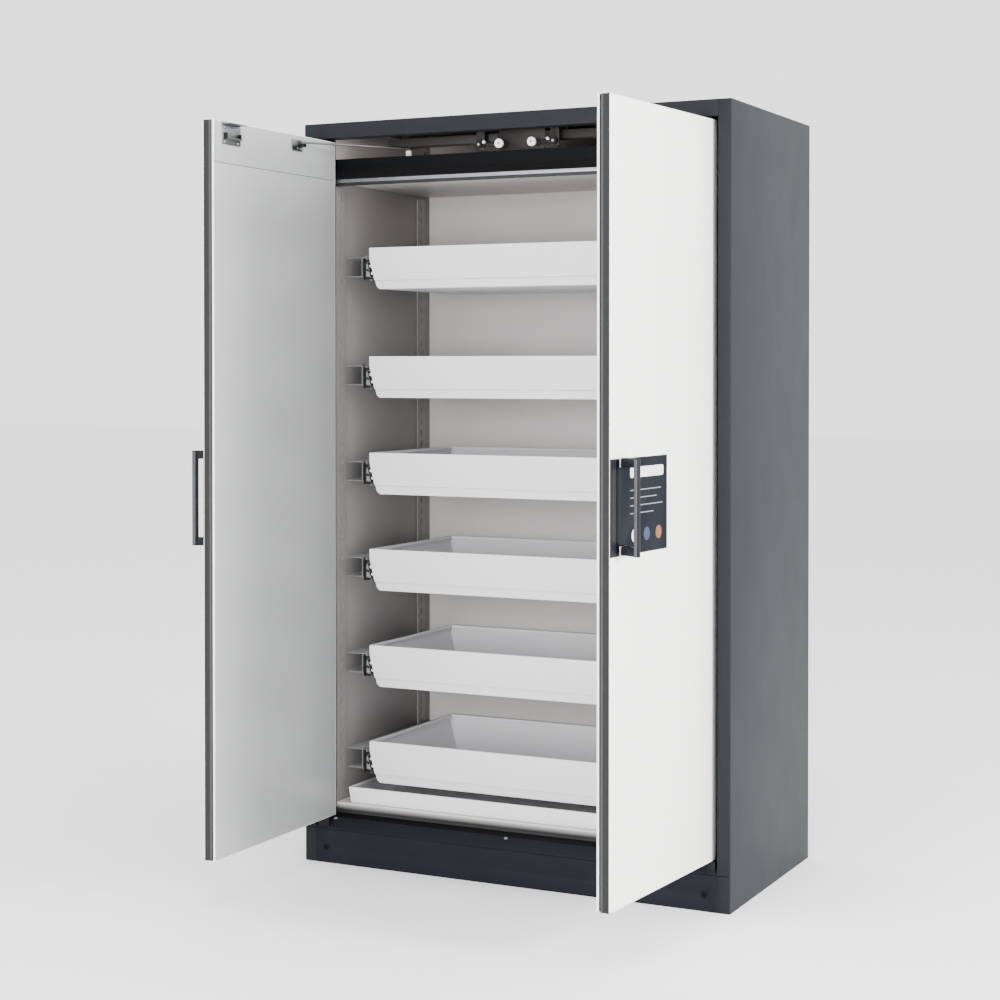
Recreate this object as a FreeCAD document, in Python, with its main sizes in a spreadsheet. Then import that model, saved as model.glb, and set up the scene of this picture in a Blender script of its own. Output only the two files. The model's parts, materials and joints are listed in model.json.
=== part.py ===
import FreeCAD, Part
import math
import os
from types import SimpleNamespace

import Sketcher
from FreeCAD import Placement, Rotation, Vector

# Hazardous material safety cabinet, in millimetres.
# The origin is on the floor at the centre of the cabinet's footprint, +Z up and -Y the front.
# Both doors stand open and every drawer is pushed in.

dimensions = {
    # outer casing
    "width": 1193,
    "depth": 615,
    "height": 1953,
    "casing_sheet": 1.5,
    "front_flange": 33,
    "rear_flange": 30,
    "corner_bend": 3,
    "frame_setback": 41.5,
    # storage space
    "inner_width": 1050,
    "inner_depth": 519,
    "floor_level": 153,
    "ceiling_level": 1800,
    "lining_sheet": 1.5,
    # header, mechanism space and plinth
    "header_height": 40,
    "deck_level": 1861.5,
    "plinth_height": 94,
    "sill_height": 122,
    "sill_reach": 39.5,
    "access_hole_radius": 8,
    "access_hole_across": 531,
    "access_hole_level": 41,
    "base_level": 90,
    "base_steel": 3,
    "skid_length": 410,
    "foot_across": 531,
    "foot_along": 240,
    "foot_radius": 22,
    "spindle_radius": 6,
    "seal_width": 27,
    "seal_thickness": 2,
    "trim_height": 8,
    # air ducts and earth stud
    "spigot_radius": 37.5,
    "spigot_wall": 1.2,
    "duct_radius": 37,
    "duct_gap": 0.4,
    "collar_width": 14,
    "spigot_height": 50,
    "duct_along": 200,
    "exhaust_across": 150,
    "supply_across": 400,
    "damper_level": 1830,
    "damper_radius": 35.8,
    "damper_pin_radius": 3,
    "stud_radius": 3,
    "stud_length": 20,
    # doors
    "pivot_across": 541.25,
    "pivot_setback": 8.75,
    "pivot_skin_gap": 9,
    "door_thickness": 31,
    "door_hinge_edge": 19,
    "door_free_edge": 540,
    "door_bottom": 123,
    "door_top": 1905,
    "door_sheet": 1.2,
    "liner_seam": 1804,
    "seal_band": 15,
    "core_band": 6.3,
    "groove_depth": 5,
    "groove_band": 3,
    "pin_radius": 5,
    "pin_clearance": 0.05,
    "pin_depth": 20,
    "left_open": 90,
    "right_open": 85.7,
    # door handles
    "grip_low": 890,
    "grip_high": 1113,
    "grip_standoff": 51,
    "plate_low": 898,
    "plate_high": 1112,
    "plate_reach": 282,
    # closer arms
    "arm_bracket_along": 160,
    "arm_bracket_out": 34,
    "arm_length": 308,
    "arm_level": 1886,
    "arm_pin_radius": 3,
    "track_setback": 98.75,
    "track_width": 34,
    "track_level": 1890,
    # latches
    "latch_level": 1882,
    "latch_pivot_across": 105,
    "latch_roller_across": 46,
    "latch_roller_radius": 11.5,
    # drawers and slides
    "drawer_first_top": 1628,
    "drawer_first_pitch": 288,
    "drawer_pitch": 256,
    "drawer_half_width": 445,
    "drawer_height": 110,
    "drawer_straight": 25,
    "drawer_chamfer_across": 9,
    "drawer_chamfer_up": 8,
    "drawer_sheet": 1.2,
    "drawer_rim": 8,
    "drawer_front": 77.5,
    "drawer_lip": 23,
    "drawer_lip_setback": 4.5,
    "drawer_length": 465,
    "side_tilt": 14.4,
    "slide_drop": 57,
    "slide_height": 46,
    "slide_depth": 12.6,
    "slide_sheet": 1.2,
    "sump_front": 52.5,
    "sump_length": 490,
    "sump_half_width": 495,
    "sump_height": 41,
    "sump_slant": 8,
}

document = FreeCAD.newDocument("safety_cabinet")
sheet = document.addObject("Spreadsheet::Sheet", "sizes")


class Size:
    """A length or angle: its number, and the expression that ties it to the sheet."""

    def __init__(self, number, text):
        self.number = number
        self.text = text

    def __add__(self, other):
        other = as_size(other)
        return Size(self.number + other.number, f"({self.text} + {other.text})")

    def __sub__(self, other):
        other = as_size(other)
        return Size(self.number - other.number, f"({self.text} - {other.text})")

    def __mul__(self, other):
        other = as_size(other)
        return Size(self.number * other.number, f"{self.text} * {other.text}")

    def __truediv__(self, other):
        other = as_size(other)
        return Size(self.number / other.number, f"{self.text} / {other.text}")

    def __rtruediv__(self, other):
        return as_size(other) / self

    def __radd__(self, other):
        return as_size(other) + self

    def __rsub__(self, other):
        return as_size(other) - self

    def __rmul__(self, other):
        return as_size(other) * self

    def __neg__(self):
        return as_size(-1) * self


def as_size(value):
    """Wrap a plain number."""
    if isinstance(value, Size):
        return value
    return Size(value, f"({value})")


def cosine(angle):
    """Cosine of an angle in degrees."""
    return Size(math.cos(math.radians(angle.number)), f"cos({angle.text})")


def sine(angle):
    """Sine of an angle in degrees."""
    return Size(math.sin(math.radians(angle.number)), f"sin({angle.text})")


def tangent(angle):
    """Tangent of an angle in degrees."""
    return Size(math.tan(math.radians(angle.number)), f"tan({angle.text})")


def arcsine(ratio):
    """Angle in degrees whose sine is the ratio."""
    return Size(math.degrees(math.asin(ratio.number)), f"asin({ratio.text})")


def fill_sheet():
    """Write the driving dimensions to the sheet and return them by name."""
    named = {}
    for row, (name, value) in enumerate(dimensions.items(), start=1):
        cell = f"B{row}"
        sheet.set(f"A{row}", name.replace("_", " "))
        sheet.set(cell, str(value))
        sheet.setAlias(cell, name)
        named[name] = Size(value, f"sizes.{name}")
    document.recompute()
    return SimpleNamespace(**named)


dim = fill_sheet()
nodes = {}
cuts = []


def bind(target, path, value):
    """Tie a property to the sheet, or set it where the value is a plain number."""
    target.setExpression(path, as_size(value).text)


class Circle:
    """A round loop of a sketch."""

    def __init__(self, across, up, radius):
        self.across = as_size(across)
        self.up = as_size(up)
        self.radius = as_size(radius)


def rectangle(left, right, low, high):
    """Corner points of a rectangle."""
    return [(left, low), (right, low), (right, high), (left, high)]


def mirrored(side, loop):
    """The same points on the side +1 or -1."""
    return [(side * across, up) for across, up in loop]


class Piece:
    """One solid, built up from pads and pockets on its own body's planes."""

    # Sketch normals: +Z on XY, -Y on XZ and +X on YZ.
    facing = {"XY": 1, "XZ": -1, "YZ": 1}

    def __init__(self, label):
        self.body = document.addObject("PartDesign::Body", label)
        self.body.Label = label

    def sketch(self, plane, level, loops):
        drawing = self.body.newObject("Sketcher::SketchObject", self.body.Label + "_outline")
        origin_plane = next(
            item for item in self.body.Origin.OriginFeatures if item.Role == plane + "_Plane")
        drawing.AttachmentSupport = [(origin_plane, "")]
        drawing.MapMode = "FlatFace"
        bind(drawing, "AttachmentOffset.Base.z", level)
        for loop in loops:
            if isinstance(loop, Circle):
                self.draw_circle(drawing, loop)
            else:
                self.draw_polygon(drawing, loop)
        return drawing

    def hold(self, drawing, kind, line, point, value):
        """Hold one coordinate of a point at a bound distance from the origin."""
        rule = Sketcher.Constraint(kind, -1, 1, line, point, value.number)
        bind(drawing, f"Constraints[{drawing.addConstraint(rule)}]", value)

    def draw_circle(self, drawing, loop):
        middle = Vector(loop.across.number, loop.up.number, 0)
        ring = drawing.addGeometry(
            Part.Circle(middle, Vector(0, 0, 1), loop.radius.number), False)
        self.hold(drawing, "DistanceX", ring, 3, loop.across)
        self.hold(drawing, "DistanceY", ring, 3, loop.up)
        rule = Sketcher.Constraint("Radius", ring, loop.radius.number)
        bind(drawing, f"Constraints[{drawing.addConstraint(rule)}]", loop.radius)

    def draw_polygon(self, drawing, loop):
        points = [(as_size(across), as_size(up)) for across, up in loop]
        corners = [Vector(across.number, up.number, 0) for across, up in points]
        lines = []
        for index, corner in enumerate(corners):
            after = corners[(index + 1) % len(corners)]
            lines.append(drawing.addGeometry(Part.LineSegment(corner, after), False))
        for index, line in enumerate(lines):
            after = lines[(index + 1) % len(lines)]
            drawing.addConstraint(Sketcher.Constraint("Coincident", line, 2, after, 1))
        for line, (across, up) in zip(lines, points):
            self.hold(drawing, "DistanceX", line, 1, across)
            self.hold(drawing, "DistanceY", line, 1, up)

    def pad(self, plane, low, high, *loops):
        """Add the loops' area from low to high along the plane's axis."""
        low = as_size(low)
        high = as_size(high)
        level = low if self.facing[plane] > 0 else -high
        feature = self.body.newObject("PartDesign::Pad", self.body.Label + "_pad")
        feature.Profile = self.sketch(plane, level, loops)
        bind(feature, "Length", high - low)
        self.body.Tip = feature
        return self

    def pocket(self, plane, low, high, *loops):
        """Cut the loops' area away from low to high along the plane's axis."""
        low = as_size(low)
        high = as_size(high)
        level = high if self.facing[plane] > 0 else -low
        before = self.body.Tip
        feature = self.body.newObject("PartDesign::Pocket", self.body.Label + "_cut")
        feature.Profile = self.sketch(plane, level, loops)
        bind(feature, "Length", high - low)
        self.body.Tip = feature
        cuts.append((feature, before))
        return self

    def bend(self, across, along, radius):
        """Round the upright edge that stands at a place in plan."""
        document.recompute()
        before = self.body.Tip
        names = []
        for number, edge in enumerate(before.Shape.Edges, start=1):
            ends = [vertex.Point for vertex in edge.Vertexes]
            gaps = [math.hypot(end.x - across.number, end.y - along.number) for end in ends]
            if len(ends) == 2 and max(gaps) < 0.01:
                names.append(f"Edge{number}")
        feature = self.body.newObject("PartDesign::Fillet", self.body.Label + "_bend")
        feature.Base = (before, names)
        bind(feature, "Radius", radius)
        self.body.Tip = feature
        return self

    def place(self, across, along, axis, angle):
        """Stand the body at a place in plan, turned about the upright axis +1 or -1."""
        turn = Rotation(Vector(0, 0, axis), as_size(angle).number)
        spot = Vector(as_size(across).number, as_size(along).number, 0)
        self.body.Placement = Placement(spot, turn)
        bind(self.body, "Placement.Base.x", across)
        bind(self.body, "Placement.Base.y", along)
        bind(self.body, "Placement.Rotation.Angle", angle)
        return self


def node(piece):
    """Keep a piece as a node of its own."""
    nodes[piece.body.Label] = piece.body
    return piece


def group(label, pieces):
    """Keep several separate solids as one node."""
    compound = document.addObject("Part::Compound", label)
    compound.Label = label
    compound.Links = [piece.body for piece in pieces]
    nodes[label] = compound


def block(label, left, right, front_y, back_y, low, high):
    """A plain rectangular board or sheet."""
    return Piece(label).pad("XY", low, high, rectangle(left, right, front_y, back_y))


# Planes that several pieces share.
half_width = dim.width / 2
front = -dim.depth / 2
back = dim.depth / 2
jamb = half_width - dim.front_flange
frame_plane = front + dim.frame_setback
frame_back = frame_plane + dim.casing_sheet
inner_half = dim.inner_width / 2
lining_out = inner_half + dim.lining_sheet
inner_back = frame_back + dim.inner_depth
lining_back_out = inner_back + dim.lining_sheet
casing_inner = half_width - dim.casing_sheet
casing_back = back - dim.casing_sheet
header_low = dim.height - dim.header_height
header_back = frame_plane
roof_low = dim.height - dim.casing_sheet
deck_low = dim.deck_level - dim.lining_sheet
floor_low = dim.floor_level - dim.lining_sheet
ceiling_high = dim.ceiling_level + dim.lining_sheet
trim_top = dim.ceiling_level + dim.trim_height
pivot_y = front + dim.pivot_setback
sides = {"left": -1, "right": 1}


def make_side_panel(name, side):
    """Side wall folded from one sheet: front flange, door jamb, seal flange and rear flange."""
    skin = dim.casing_sheet
    rear = half_width - dim.rear_flange
    section = [
        (lining_out, frame_plane), (jamb, frame_plane), (jamb, front), (half_width, front),
        (half_width, back), (rear, back), (rear, casing_back), (casing_inner, casing_back),
        (casing_inner, front + skin), (jamb + skin, front + skin), (jamb + skin, frame_back),
        (lining_out, frame_back)]
    panel = Piece(f"side_panel_{name}").pad("XY", 0, dim.height, mirrored(side, section))
    panel.bend(side * half_width, front, dim.corner_bend)
    panel.bend(side * casing_inner, front + skin, dim.corner_bend / 2)
    node(panel)


def make_casing():
    """Back, roof, header and plinth between the two side panels."""
    rear = half_width - dim.rear_flange
    skin = dim.casing_sheet
    node(block("back_panel", -rear, rear, casing_back, back, 0, dim.height))
    roof = Piece("roof_panel").pad("XY", roof_low, dim.height, [
        (-casing_inner, frame_back), (-lining_out, frame_back), (-lining_out, header_back),
        (lining_out, header_back), (lining_out, frame_back), (casing_inner, frame_back),
        (casing_inner, casing_back), (-casing_inner, casing_back)])
    roof.pocket("XY", roof_low, dim.height, *duct_holes())
    node(roof)
    header_section = [
        (front, header_low), (header_back, header_low), (header_back, header_low + skin),
        (front + skin, header_low + skin), (front + skin, roof_low), (header_back, roof_low),
        (header_back, dim.height), (front, dim.height)]
    header = Piece("header_rail").pad("YZ", -jamb, jamb, header_section)
    header.pocket("XY", header_low, header_low + skin,
                  Circle(-dim.pivot_across, pivot_y, dim.pin_radius + 0.5),
                  Circle(dim.pivot_across, pivot_y, dim.pin_radius + 0.5))
    node(header)
    sill_back = front + dim.sill_reach
    plinth_section = [
        (front, 0), (front, dim.plinth_height), (sill_back, dim.sill_height),
        (sill_back, dim.sill_height - 1.25 * skin), (front + skin, dim.plinth_height - 0.6 * skin),
        (front + skin, 0)]
    plinth = Piece("plinth_panel").pad("YZ", -jamb, jamb, plinth_section)
    plinth.pocket("XZ", front, front + skin, *[
        Circle(side * dim.access_hole_across, dim.access_hole_level, dim.access_hole_radius)
        for side in (-1, 1)])
    node(plinth)


def make_base():
    """Skid frame under the insulated floor, and the levelling feet on its cross plates."""
    steel = dim.base_steel
    plate_low = dim.base_level - steel
    reach = dim.skid_length / 2
    overlap = 15
    plate_edge = 262
    plate_half = 588
    skids = [(-580, -520), (-50, 50), (520, 580)]
    pad_height = 8
    nut_height = 8
    nut_radius = 10
    spindle_top = dim.base_level - 0.5
    frame = Piece("base_frame")
    for left, right in skids:
        channel = [
            (left, 0), (right, 0), (right, plate_low), (right - steel, plate_low),
            (right - steel, steel), (left + steel, steel), (left + steel, plate_low),
            (left, plate_low)]
        frame.pad("XZ", -reach, reach, channel)
    for low, high in ((-plate_edge, -reach + overlap), (reach - overlap, plate_edge)):
        frame.pad("XY", plate_low, dim.base_level, rectangle(-plate_half, plate_half, low, high))
    hole_radius = dim.spindle_radius + dim.pin_clearance
    holes = [Circle(side * dim.foot_across, end * dim.foot_along, hole_radius)
             for side in (-1, 1) for end in (-1, 1)]
    frame.pocket("XY", plate_low, dim.base_level, *holes)
    node(frame)
    feet = []
    for side in (-1, 1):
        for end in (-1, 1):
            across = side * dim.foot_across
            along = end * dim.foot_along
            spindle = Circle(across, along, dim.spindle_radius)
            foot = Piece(f"foot_{len(feet) + 1}")
            foot.pad("XY", 0, pad_height, Circle(across, along, dim.foot_radius))
            foot.pad("XY", pad_height, plate_low - nut_height, spindle)
            foot.pad("XY", plate_low - nut_height, plate_low, Circle(across, along, nut_radius))
            foot.pad("XY", plate_low, spindle_top, spindle)
            feet.append(foot)
    group("leveling_feet", feet)


def make_insulation():
    """Fire protection boards between the casing and the lining."""
    base = dim.base_level
    boards = []
    for name, side in sides.items():
        edges = sorted((side * lining_out, side * casing_inner), key=lambda edge: edge.number)
        boards.append(block(f"board_{name}", edges[0], edges[1], frame_back, casing_back,
                            base, deck_low))
    boards.append(block("board_back", -lining_out, lining_out, lining_back_out, casing_back,
                        base, deck_low))
    top = block("board_top", -lining_out, lining_out, frame_back, lining_back_out,
                ceiling_high, deck_low)
    top.pocket("XY", ceiling_high, deck_low, *duct_holes())
    boards.append(top)
    boards.append(block("board_bottom", -lining_out, lining_out, frame_back, lining_back_out,
                        base, floor_low))
    group("insulation_boards", boards)


def duct_holes():
    """Clearance holes for the two ducts."""
    return [Circle(across, dim.duct_along, dim.spigot_radius + dim.duct_gap)
            for across in (dim.exhaust_across, dim.supply_across)]


def make_lining():
    """Chemical-resistant inner lining of the storage space."""
    walls = []
    for name, side in sides.items():
        edges = sorted((side * inner_half, side * lining_out), key=lambda edge: edge.number)
        walls.append(block(f"lining_{name}", edges[0], edges[1], frame_back, lining_back_out,
                           floor_low, ceiling_high))
    group("lining_sides", walls)
    node(block("lining_back", -inner_half, inner_half, inner_back, lining_back_out,
               floor_low, ceiling_high))
    ceiling = block("lining_ceiling", -inner_half, inner_half, frame_back, inner_back,
                    dim.ceiling_level, ceiling_high)
    ceiling.pocket("XY", dim.ceiling_level, ceiling_high, *duct_holes())
    node(ceiling)
    floor = block("lining_floor", -inner_half, inner_half, frame_back, inner_back,
                  floor_low, dim.floor_level)
    lip_low = dim.sill_height + 2
    floor.pad("XZ", frame_plane, frame_back,
              rectangle(-lining_out, lining_out, lip_low, dim.floor_level))
    node(floor)


def make_front_frame():
    """Seal around the opening, fascia of the insulated ceiling and its bright trim."""
    seal_out = inner_half + dim.seal_width
    outer_loop = rectangle(-seal_out, seal_out, dim.floor_level - dim.seal_width,
                           trim_top + dim.seal_width)
    opening = rectangle(-inner_half, inner_half, dim.floor_level, trim_top)
    seal = Piece("frame_seal")
    seal.pad("XZ", frame_plane - dim.seal_thickness, frame_plane, outer_loop, opening)
    node(seal)
    node(Piece("ceiling_fascia").pad("XZ", frame_plane, frame_back, rectangle(
        -lining_out, lining_out, ceiling_high, dim.deck_level)))
    trim_low = dim.ceiling_level - 1.2
    trim_face = frame_plane - dim.seal_thickness - 0.5
    trim_end = frame_back + 25
    trim_section = [
        (trim_face, trim_low), (trim_end, trim_low),
        (trim_end, dim.ceiling_level), (frame_plane, dim.ceiling_level),
        (frame_plane, trim_top), (trim_face, trim_top)]
    node(Piece("ceiling_trim").pad("YZ", -inner_half, inner_half, trim_section))


def make_compartment():
    """Walls and deck of the space over the insulated ceiling."""
    section = [
        (-lining_out, frame_back), (-inner_half, frame_back), (-inner_half, inner_back),
        (inner_half, inner_back), (inner_half, frame_back), (lining_out, frame_back),
        (lining_out, lining_back_out), (-lining_out, lining_back_out)]
    walls = Piece("compartment_lining").pad("XY", dim.deck_level, roof_low, section)
    walls.pad("XY", deck_low, dim.deck_level,
              rectangle(-lining_out, lining_out, frame_back, lining_back_out))
    walls.pocket("XY", deck_low, dim.deck_level, *duct_holes())
    node(walls)


def make_ducts():
    """Exhaust and supply ducts, each with a spigot over its collar and a fire damper on a pin."""
    top = dim.height + dim.spigot_height
    collar_top = dim.height + 2
    pin_reach = dim.duct_radius + 0.3
    stud_across = 500
    stud_along = 270
    nut_radius = 6
    nut_height = 5
    ducts = []
    for name, across in (("exhaust", dim.exhaust_across), ("supply", dim.supply_across)):
        bore = dim.spigot_radius - dim.spigot_wall
        tube = Piece(f"duct_{name}")
        tube.pad("XY", dim.ceiling_level, collar_top,
                 Circle(across, dim.duct_along, dim.duct_radius),
                 Circle(across, dim.duct_along, bore))
        tube.pad("XY", collar_top, top,
                 Circle(across, dim.duct_along, dim.spigot_radius),
                 Circle(across, dim.duct_along, bore))
        tube.pocket("YZ", across - dim.spigot_radius, across + dim.spigot_radius,
                    Circle(dim.duct_along, dim.damper_level,
                           dim.damper_pin_radius + dim.pin_clearance))
        ring = Piece(f"collar_{name}").pad(
            "XY", dim.height, collar_top,
            Circle(across, dim.duct_along, dim.spigot_radius + dim.collar_width),
            Circle(across, dim.duct_along, dim.duct_radius))
        ducts.extend([tube, ring])
        damper = Piece(f"damper_{name}")
        damper.pad("XZ", dim.duct_along - 1, dim.duct_along + 1,
                   Circle(across, dim.damper_level, dim.damper_radius))
        damper.pad("YZ", across - pin_reach, across + pin_reach,
                   Circle(dim.duct_along, dim.damper_level, dim.damper_pin_radius))
        node(damper)
    group("air_ducts", ducts)
    stud = Piece("earth_stud")
    stud.pad("XY", dim.height, dim.height + nut_height,
             Circle(stud_across, stud_along, nut_radius))
    stud.pad("XY", dim.height + nut_height, dim.height + dim.stud_length,
             Circle(stud_across, stud_along, dim.stud_radius))
    node(stud)


def make_hinge_seats():
    """Blocks that hold the four upright hinge pins, and the pins."""
    blocks = []
    pins = []
    half_block = 16
    cap_height = 16
    reach = 20
    gap = 2
    slope = (dim.sill_height - dim.plinth_height) / dim.sill_reach
    near = front + gap
    far = near + reach
    pin_foot = dim.plinth_height + 10
    low_top = dim.door_bottom - gap
    high_low = header_low + dim.casing_sheet
    high_top = high_low + cap_height
    wedge = [
        (near, dim.plinth_height + slope * gap), (near, low_top), (far, low_top),
        (far, dim.plinth_height + slope * (reach + gap))]
    for name, side in sides.items():
        middle = side * dim.pivot_across
        hole = Circle(middle, pivot_y, dim.pin_radius)
        seat = Piece(f"hinge_seat_low_{name}")
        seat.pad("YZ", middle - half_block, middle + half_block, wedge)
        seat.pocket("XY", pin_foot, low_top, hole)
        blocks.append(seat)
        cap = block(f"hinge_seat_high_{name}", middle - half_block, middle + half_block,
                    front + dim.casing_sheet, front + dim.casing_sheet + reach,
                    high_low, high_top)
        cap.pocket("XY", high_low, high_top, hole)
        blocks.append(cap)
        pin_low = Piece(f"hinge_pin_low_{name}")
        pin_low.pad("XY", pin_foot, dim.door_bottom + dim.pin_depth, hole)
        pins.append(pin_low)
        pin_high = Piece(f"hinge_pin_high_{name}")
        pin_high.pad("XY", dim.door_top - dim.pin_depth, high_top, hole)
        pins.append(pin_high)
    group("hinge_blocks", blocks)
    group("hinge_pins", pins)


def make_arm_tracks():
    """Guide channels for the closer arms, hung from the roof, each with its hold-open catch."""
    wall = 1.5
    inner_end = 66
    outer_end = 390
    hangers = (110, 350)
    hanger_half = 12
    catch_thickness = 3
    level = dim.track_level
    middle = pivot_y + dim.track_setback - 2
    near = middle - dim.track_width / 2
    far = middle + dim.track_width / 2
    top = level + 22
    channel = [
        (near - wall, level), (near, level), (near, top - wall),
        (far, top - wall), (far, level), (far + wall, level),
        (far + wall, top), (near - wall, top)]
    tracks = []
    for name, side in sides.items():
        ends = sorted((side * inner_end, side * outer_end))
        track = Piece(f"track_{name}").pad("YZ", ends[0], ends[1], channel)
        for hanger in hangers:
            track.pad("XY", top, roof_low, rectangle(
                side * hanger - hanger_half, side * hanger + hanger_half,
                middle - wall, middle + wall))
        catch = mirrored(side, [
            (286, level + 4), (286, level - 22), (304, level - 22), (304, level - 15),
            (294, level - 9), (306, level + 4)])
        track.pad("XZ", far + wall, far + wall + catch_thickness, catch)
        tracks.append(track)
    group("arm_tracks", tracks)


def make_latches():
    """Roller latches at the middle of the header that hold the closed doors."""
    brackets = []
    level = dim.latch_level
    pivot_radius = 3
    bracket_half = 12
    bracket_sheet = 3
    hang_near = front + 61.5
    lever_back = hang_near - 3
    lever_front = hang_near - 7
    roller_front = hang_near - 15
    for name, side in sides.items():
        pivot = side * dim.latch_pivot_across
        roller = side * dim.latch_roller_across
        bracket = block(f"latch_bracket_{name}", pivot - bracket_half, pivot + bracket_half,
                        hang_near, hang_near + bracket_sheet, level - bracket_half, roof_low)
        bracket.pad("XZ", lever_front - 3, hang_near, Circle(pivot, level, pivot_radius))
        brackets.append(bracket)
        lever = Piece(f"latch_lever_{name}")
        lever.pad("XZ", lever_front, lever_back, [
            (pivot + side * 9, level - 6), (pivot + side * 9, level + 6),
            (pivot - side * 4, level + 10), (roller - side * 5, level + 5),
            (roller - side * 5, level - 5), (pivot - side * 4, level - 9)])
        lever.pad("XZ", roller_front, lever_front, Circle(roller, level, dim.latch_roller_radius))
        lever.pocket("XZ", lever_front, lever_back,
                     Circle(pivot, level, pivot_radius + dim.pin_clearance))
        node(lever)
    group("latch_brackets", brackets)


def place_on_door(piece, name, side):
    """Turn a piece drawn in the closed door's own frame, pivot at zero, to the open door."""
    angle = dim.left_open if side < 0 else dim.right_open
    return piece.place(side * dim.pivot_across, pivot_y, side, angle)


def make_door(name, side):
    """One door leaf, drawn closed with its pivot at zero and its free edge inward."""
    inward = -side
    skin_face = -dim.pivot_skin_gap
    skin_back = skin_face + dim.door_sheet
    seal_end = skin_back + dim.seal_band
    band_end = seal_end + dim.core_band
    liner_face = skin_face + dim.door_thickness
    liner_back = liner_face - dim.door_sheet
    groove_end = band_end + dim.groove_band
    hinge_edge = -dim.door_hinge_edge
    free_edge = dim.door_free_edge
    low = dim.door_bottom
    high = dim.door_top
    strip = 2.5
    strip_start = 20

    def leaf(start, end):
        """Plan rectangle along the leaf, for a pad on the XY plane."""
        return mirrored(inward, rectangle(hinge_edge + start[0], free_edge - start[0],
                                          start[1], end))

    skin = Piece(f"door_{name}_skin").pad("XY", low, high, leaf((0, skin_face), skin_back))
    node(place_on_door(skin, name, side))

    core = Piece(f"door_{name}_core")
    core.pad("XY", low + strip, high - strip, mirrored(inward, rectangle(
        hinge_edge, free_edge - strip, skin_back, seal_end)))
    core.pad("XY", low, high, mirrored(inward, rectangle(
        hinge_edge, strip_start, skin_back, seal_end)))
    core.pad("XY", low, high, leaf((0, seal_end), band_end))
    inset = dim.groove_depth
    core.pad("XY", low + inset, high - inset, leaf((inset, band_end), liner_back))
    bore = Circle(0, 0, dim.pin_radius + dim.pin_clearance)
    core.pocket("XY", low, low + dim.pin_depth + 2, bore)
    core.pocket("XY", high - dim.pin_depth - 2, high, bore)
    node(place_on_door(core, name, side))

    strips = Piece(f"door_{name}_edge_seal").pad("XZ", skin_back, seal_end, mirrored(inward, [
        (strip_start, low), (free_edge, low), (free_edge, high), (strip_start, high),
        (strip_start, high - strip), (free_edge - strip, high - strip),
        (free_edge - strip, low + strip), (strip_start, low + strip)]))
    node(place_on_door(strips, name, side))

    wall = dim.door_sheet
    sheets = []
    seam_gap = 0.5
    spans = {"lower": (low, dim.liner_seam - seam_gap), "upper": (dim.liner_seam + seam_gap, high)}
    for part, (bottom, top) in spans.items():
        pan = Piece(f"door_{name}_liner_{part}")
        pan.pad("XY", bottom, top, leaf((0, groove_end), liner_face))
        cut_low = bottom + wall if part == "lower" else bottom
        cut_high = top if part == "lower" else top - wall
        pan.pocket("XY", cut_low, cut_high, leaf((wall, groove_end), liner_back))
        sheets.append(place_on_door(pan, name, side))
    group(f"door_{name}_liner", sheets)


def make_door_fittings(name, side):
    """Keeper for the latch roller, and the bracket that carries the closer arm's pin."""
    inward = -side
    face = dim.door_thickness - dim.pivot_skin_gap
    plate = 2
    shelf_reach = 22
    hook_reach = 11
    keeper = Piece(f"keeper_{name}")
    keeper.pad("XZ", face, face + plate, mirrored(inward, rectangle(428, 508, 1849, 1904)))
    keeper.pad("XZ", face + plate, face + shelf_reach, mirrored(inward, rectangle(
        430, 506, 1898, 1900)))
    keeper.pad("XZ", face + plate, face + hook_reach, mirrored(inward, [
        (436, 1862), (500, 1862), (500, 1877), (496, 1877), (496, 1866), (440, 1866),
        (440, 1877), (436, 1877)]))
    bracket = Piece(f"arm_bracket_{name}")
    bracket_plate = 3
    plate_end = face + bracket_plate
    lug_half = 8
    lug_height = 8
    lug_end = dim.arm_bracket_out + 6
    lug_high = dim.arm_level - 3
    along = dim.arm_bracket_along
    bracket.pad("XZ", face, plate_end, mirrored(inward, rectangle(146, 198, 1864, 1893)))
    bracket.pad("XY", lug_high - lug_height, lug_high, mirrored(inward, rectangle(
        along - lug_half, along + lug_half, plate_end, lug_end)))
    bracket.pad("XY", lug_high, dim.arm_level + 4, Circle(
        inward * along, dim.arm_bracket_out, dim.arm_pin_radius))
    bracket.pad("XZ", plate_end, plate_end + 6, mirrored(inward, rectangle(180, 196, 1866, 1876)))
    group(f"door_{name}_fittings", [place_on_door(keeper, name, side),
                                    place_on_door(bracket, name, side)])


def make_handle(name, side):
    """Pull handle: an upright grip on two slanted arms, and the strip along the free edge."""
    inward = -side
    face = -dim.pivot_skin_gap
    edge = dim.door_free_edge
    out = dim.grip_standoff
    arm_height = 20

    def plan(points):
        """Points given as distance from the free edge and stand-off from the door's face."""
        return mirrored(inward, [(edge - away, face - stand) for away, stand in points])

    grip = Piece(f"grip_{name}")
    grip.pad("XY", dim.grip_low, dim.grip_high, plan(
        [(28, out - 11), (29, out), (41, out), (42, out - 11), (39, out - 13), (31, out - 13)]))
    for low in (dim.grip_low, dim.grip_high - arm_height):
        grip.pad("XY", low, low + arm_height, plan(
            [(29, out - 1), (42, out - 1), (60, 26), (76, 12), (76, 0), (46, 0), (46, 10),
             (38, 20), (29, out - 15)]))
    strip = Piece(f"edge_strip_{name}")
    strip.pad("XY", dim.plate_low, dim.plate_high, plan([(1, 0), (1, 2), (27, 2), (27, 0)]))
    group(f"door_{name}_handle", [place_on_door(grip, name, side),
                                  place_on_door(strip, name, side)])


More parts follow.
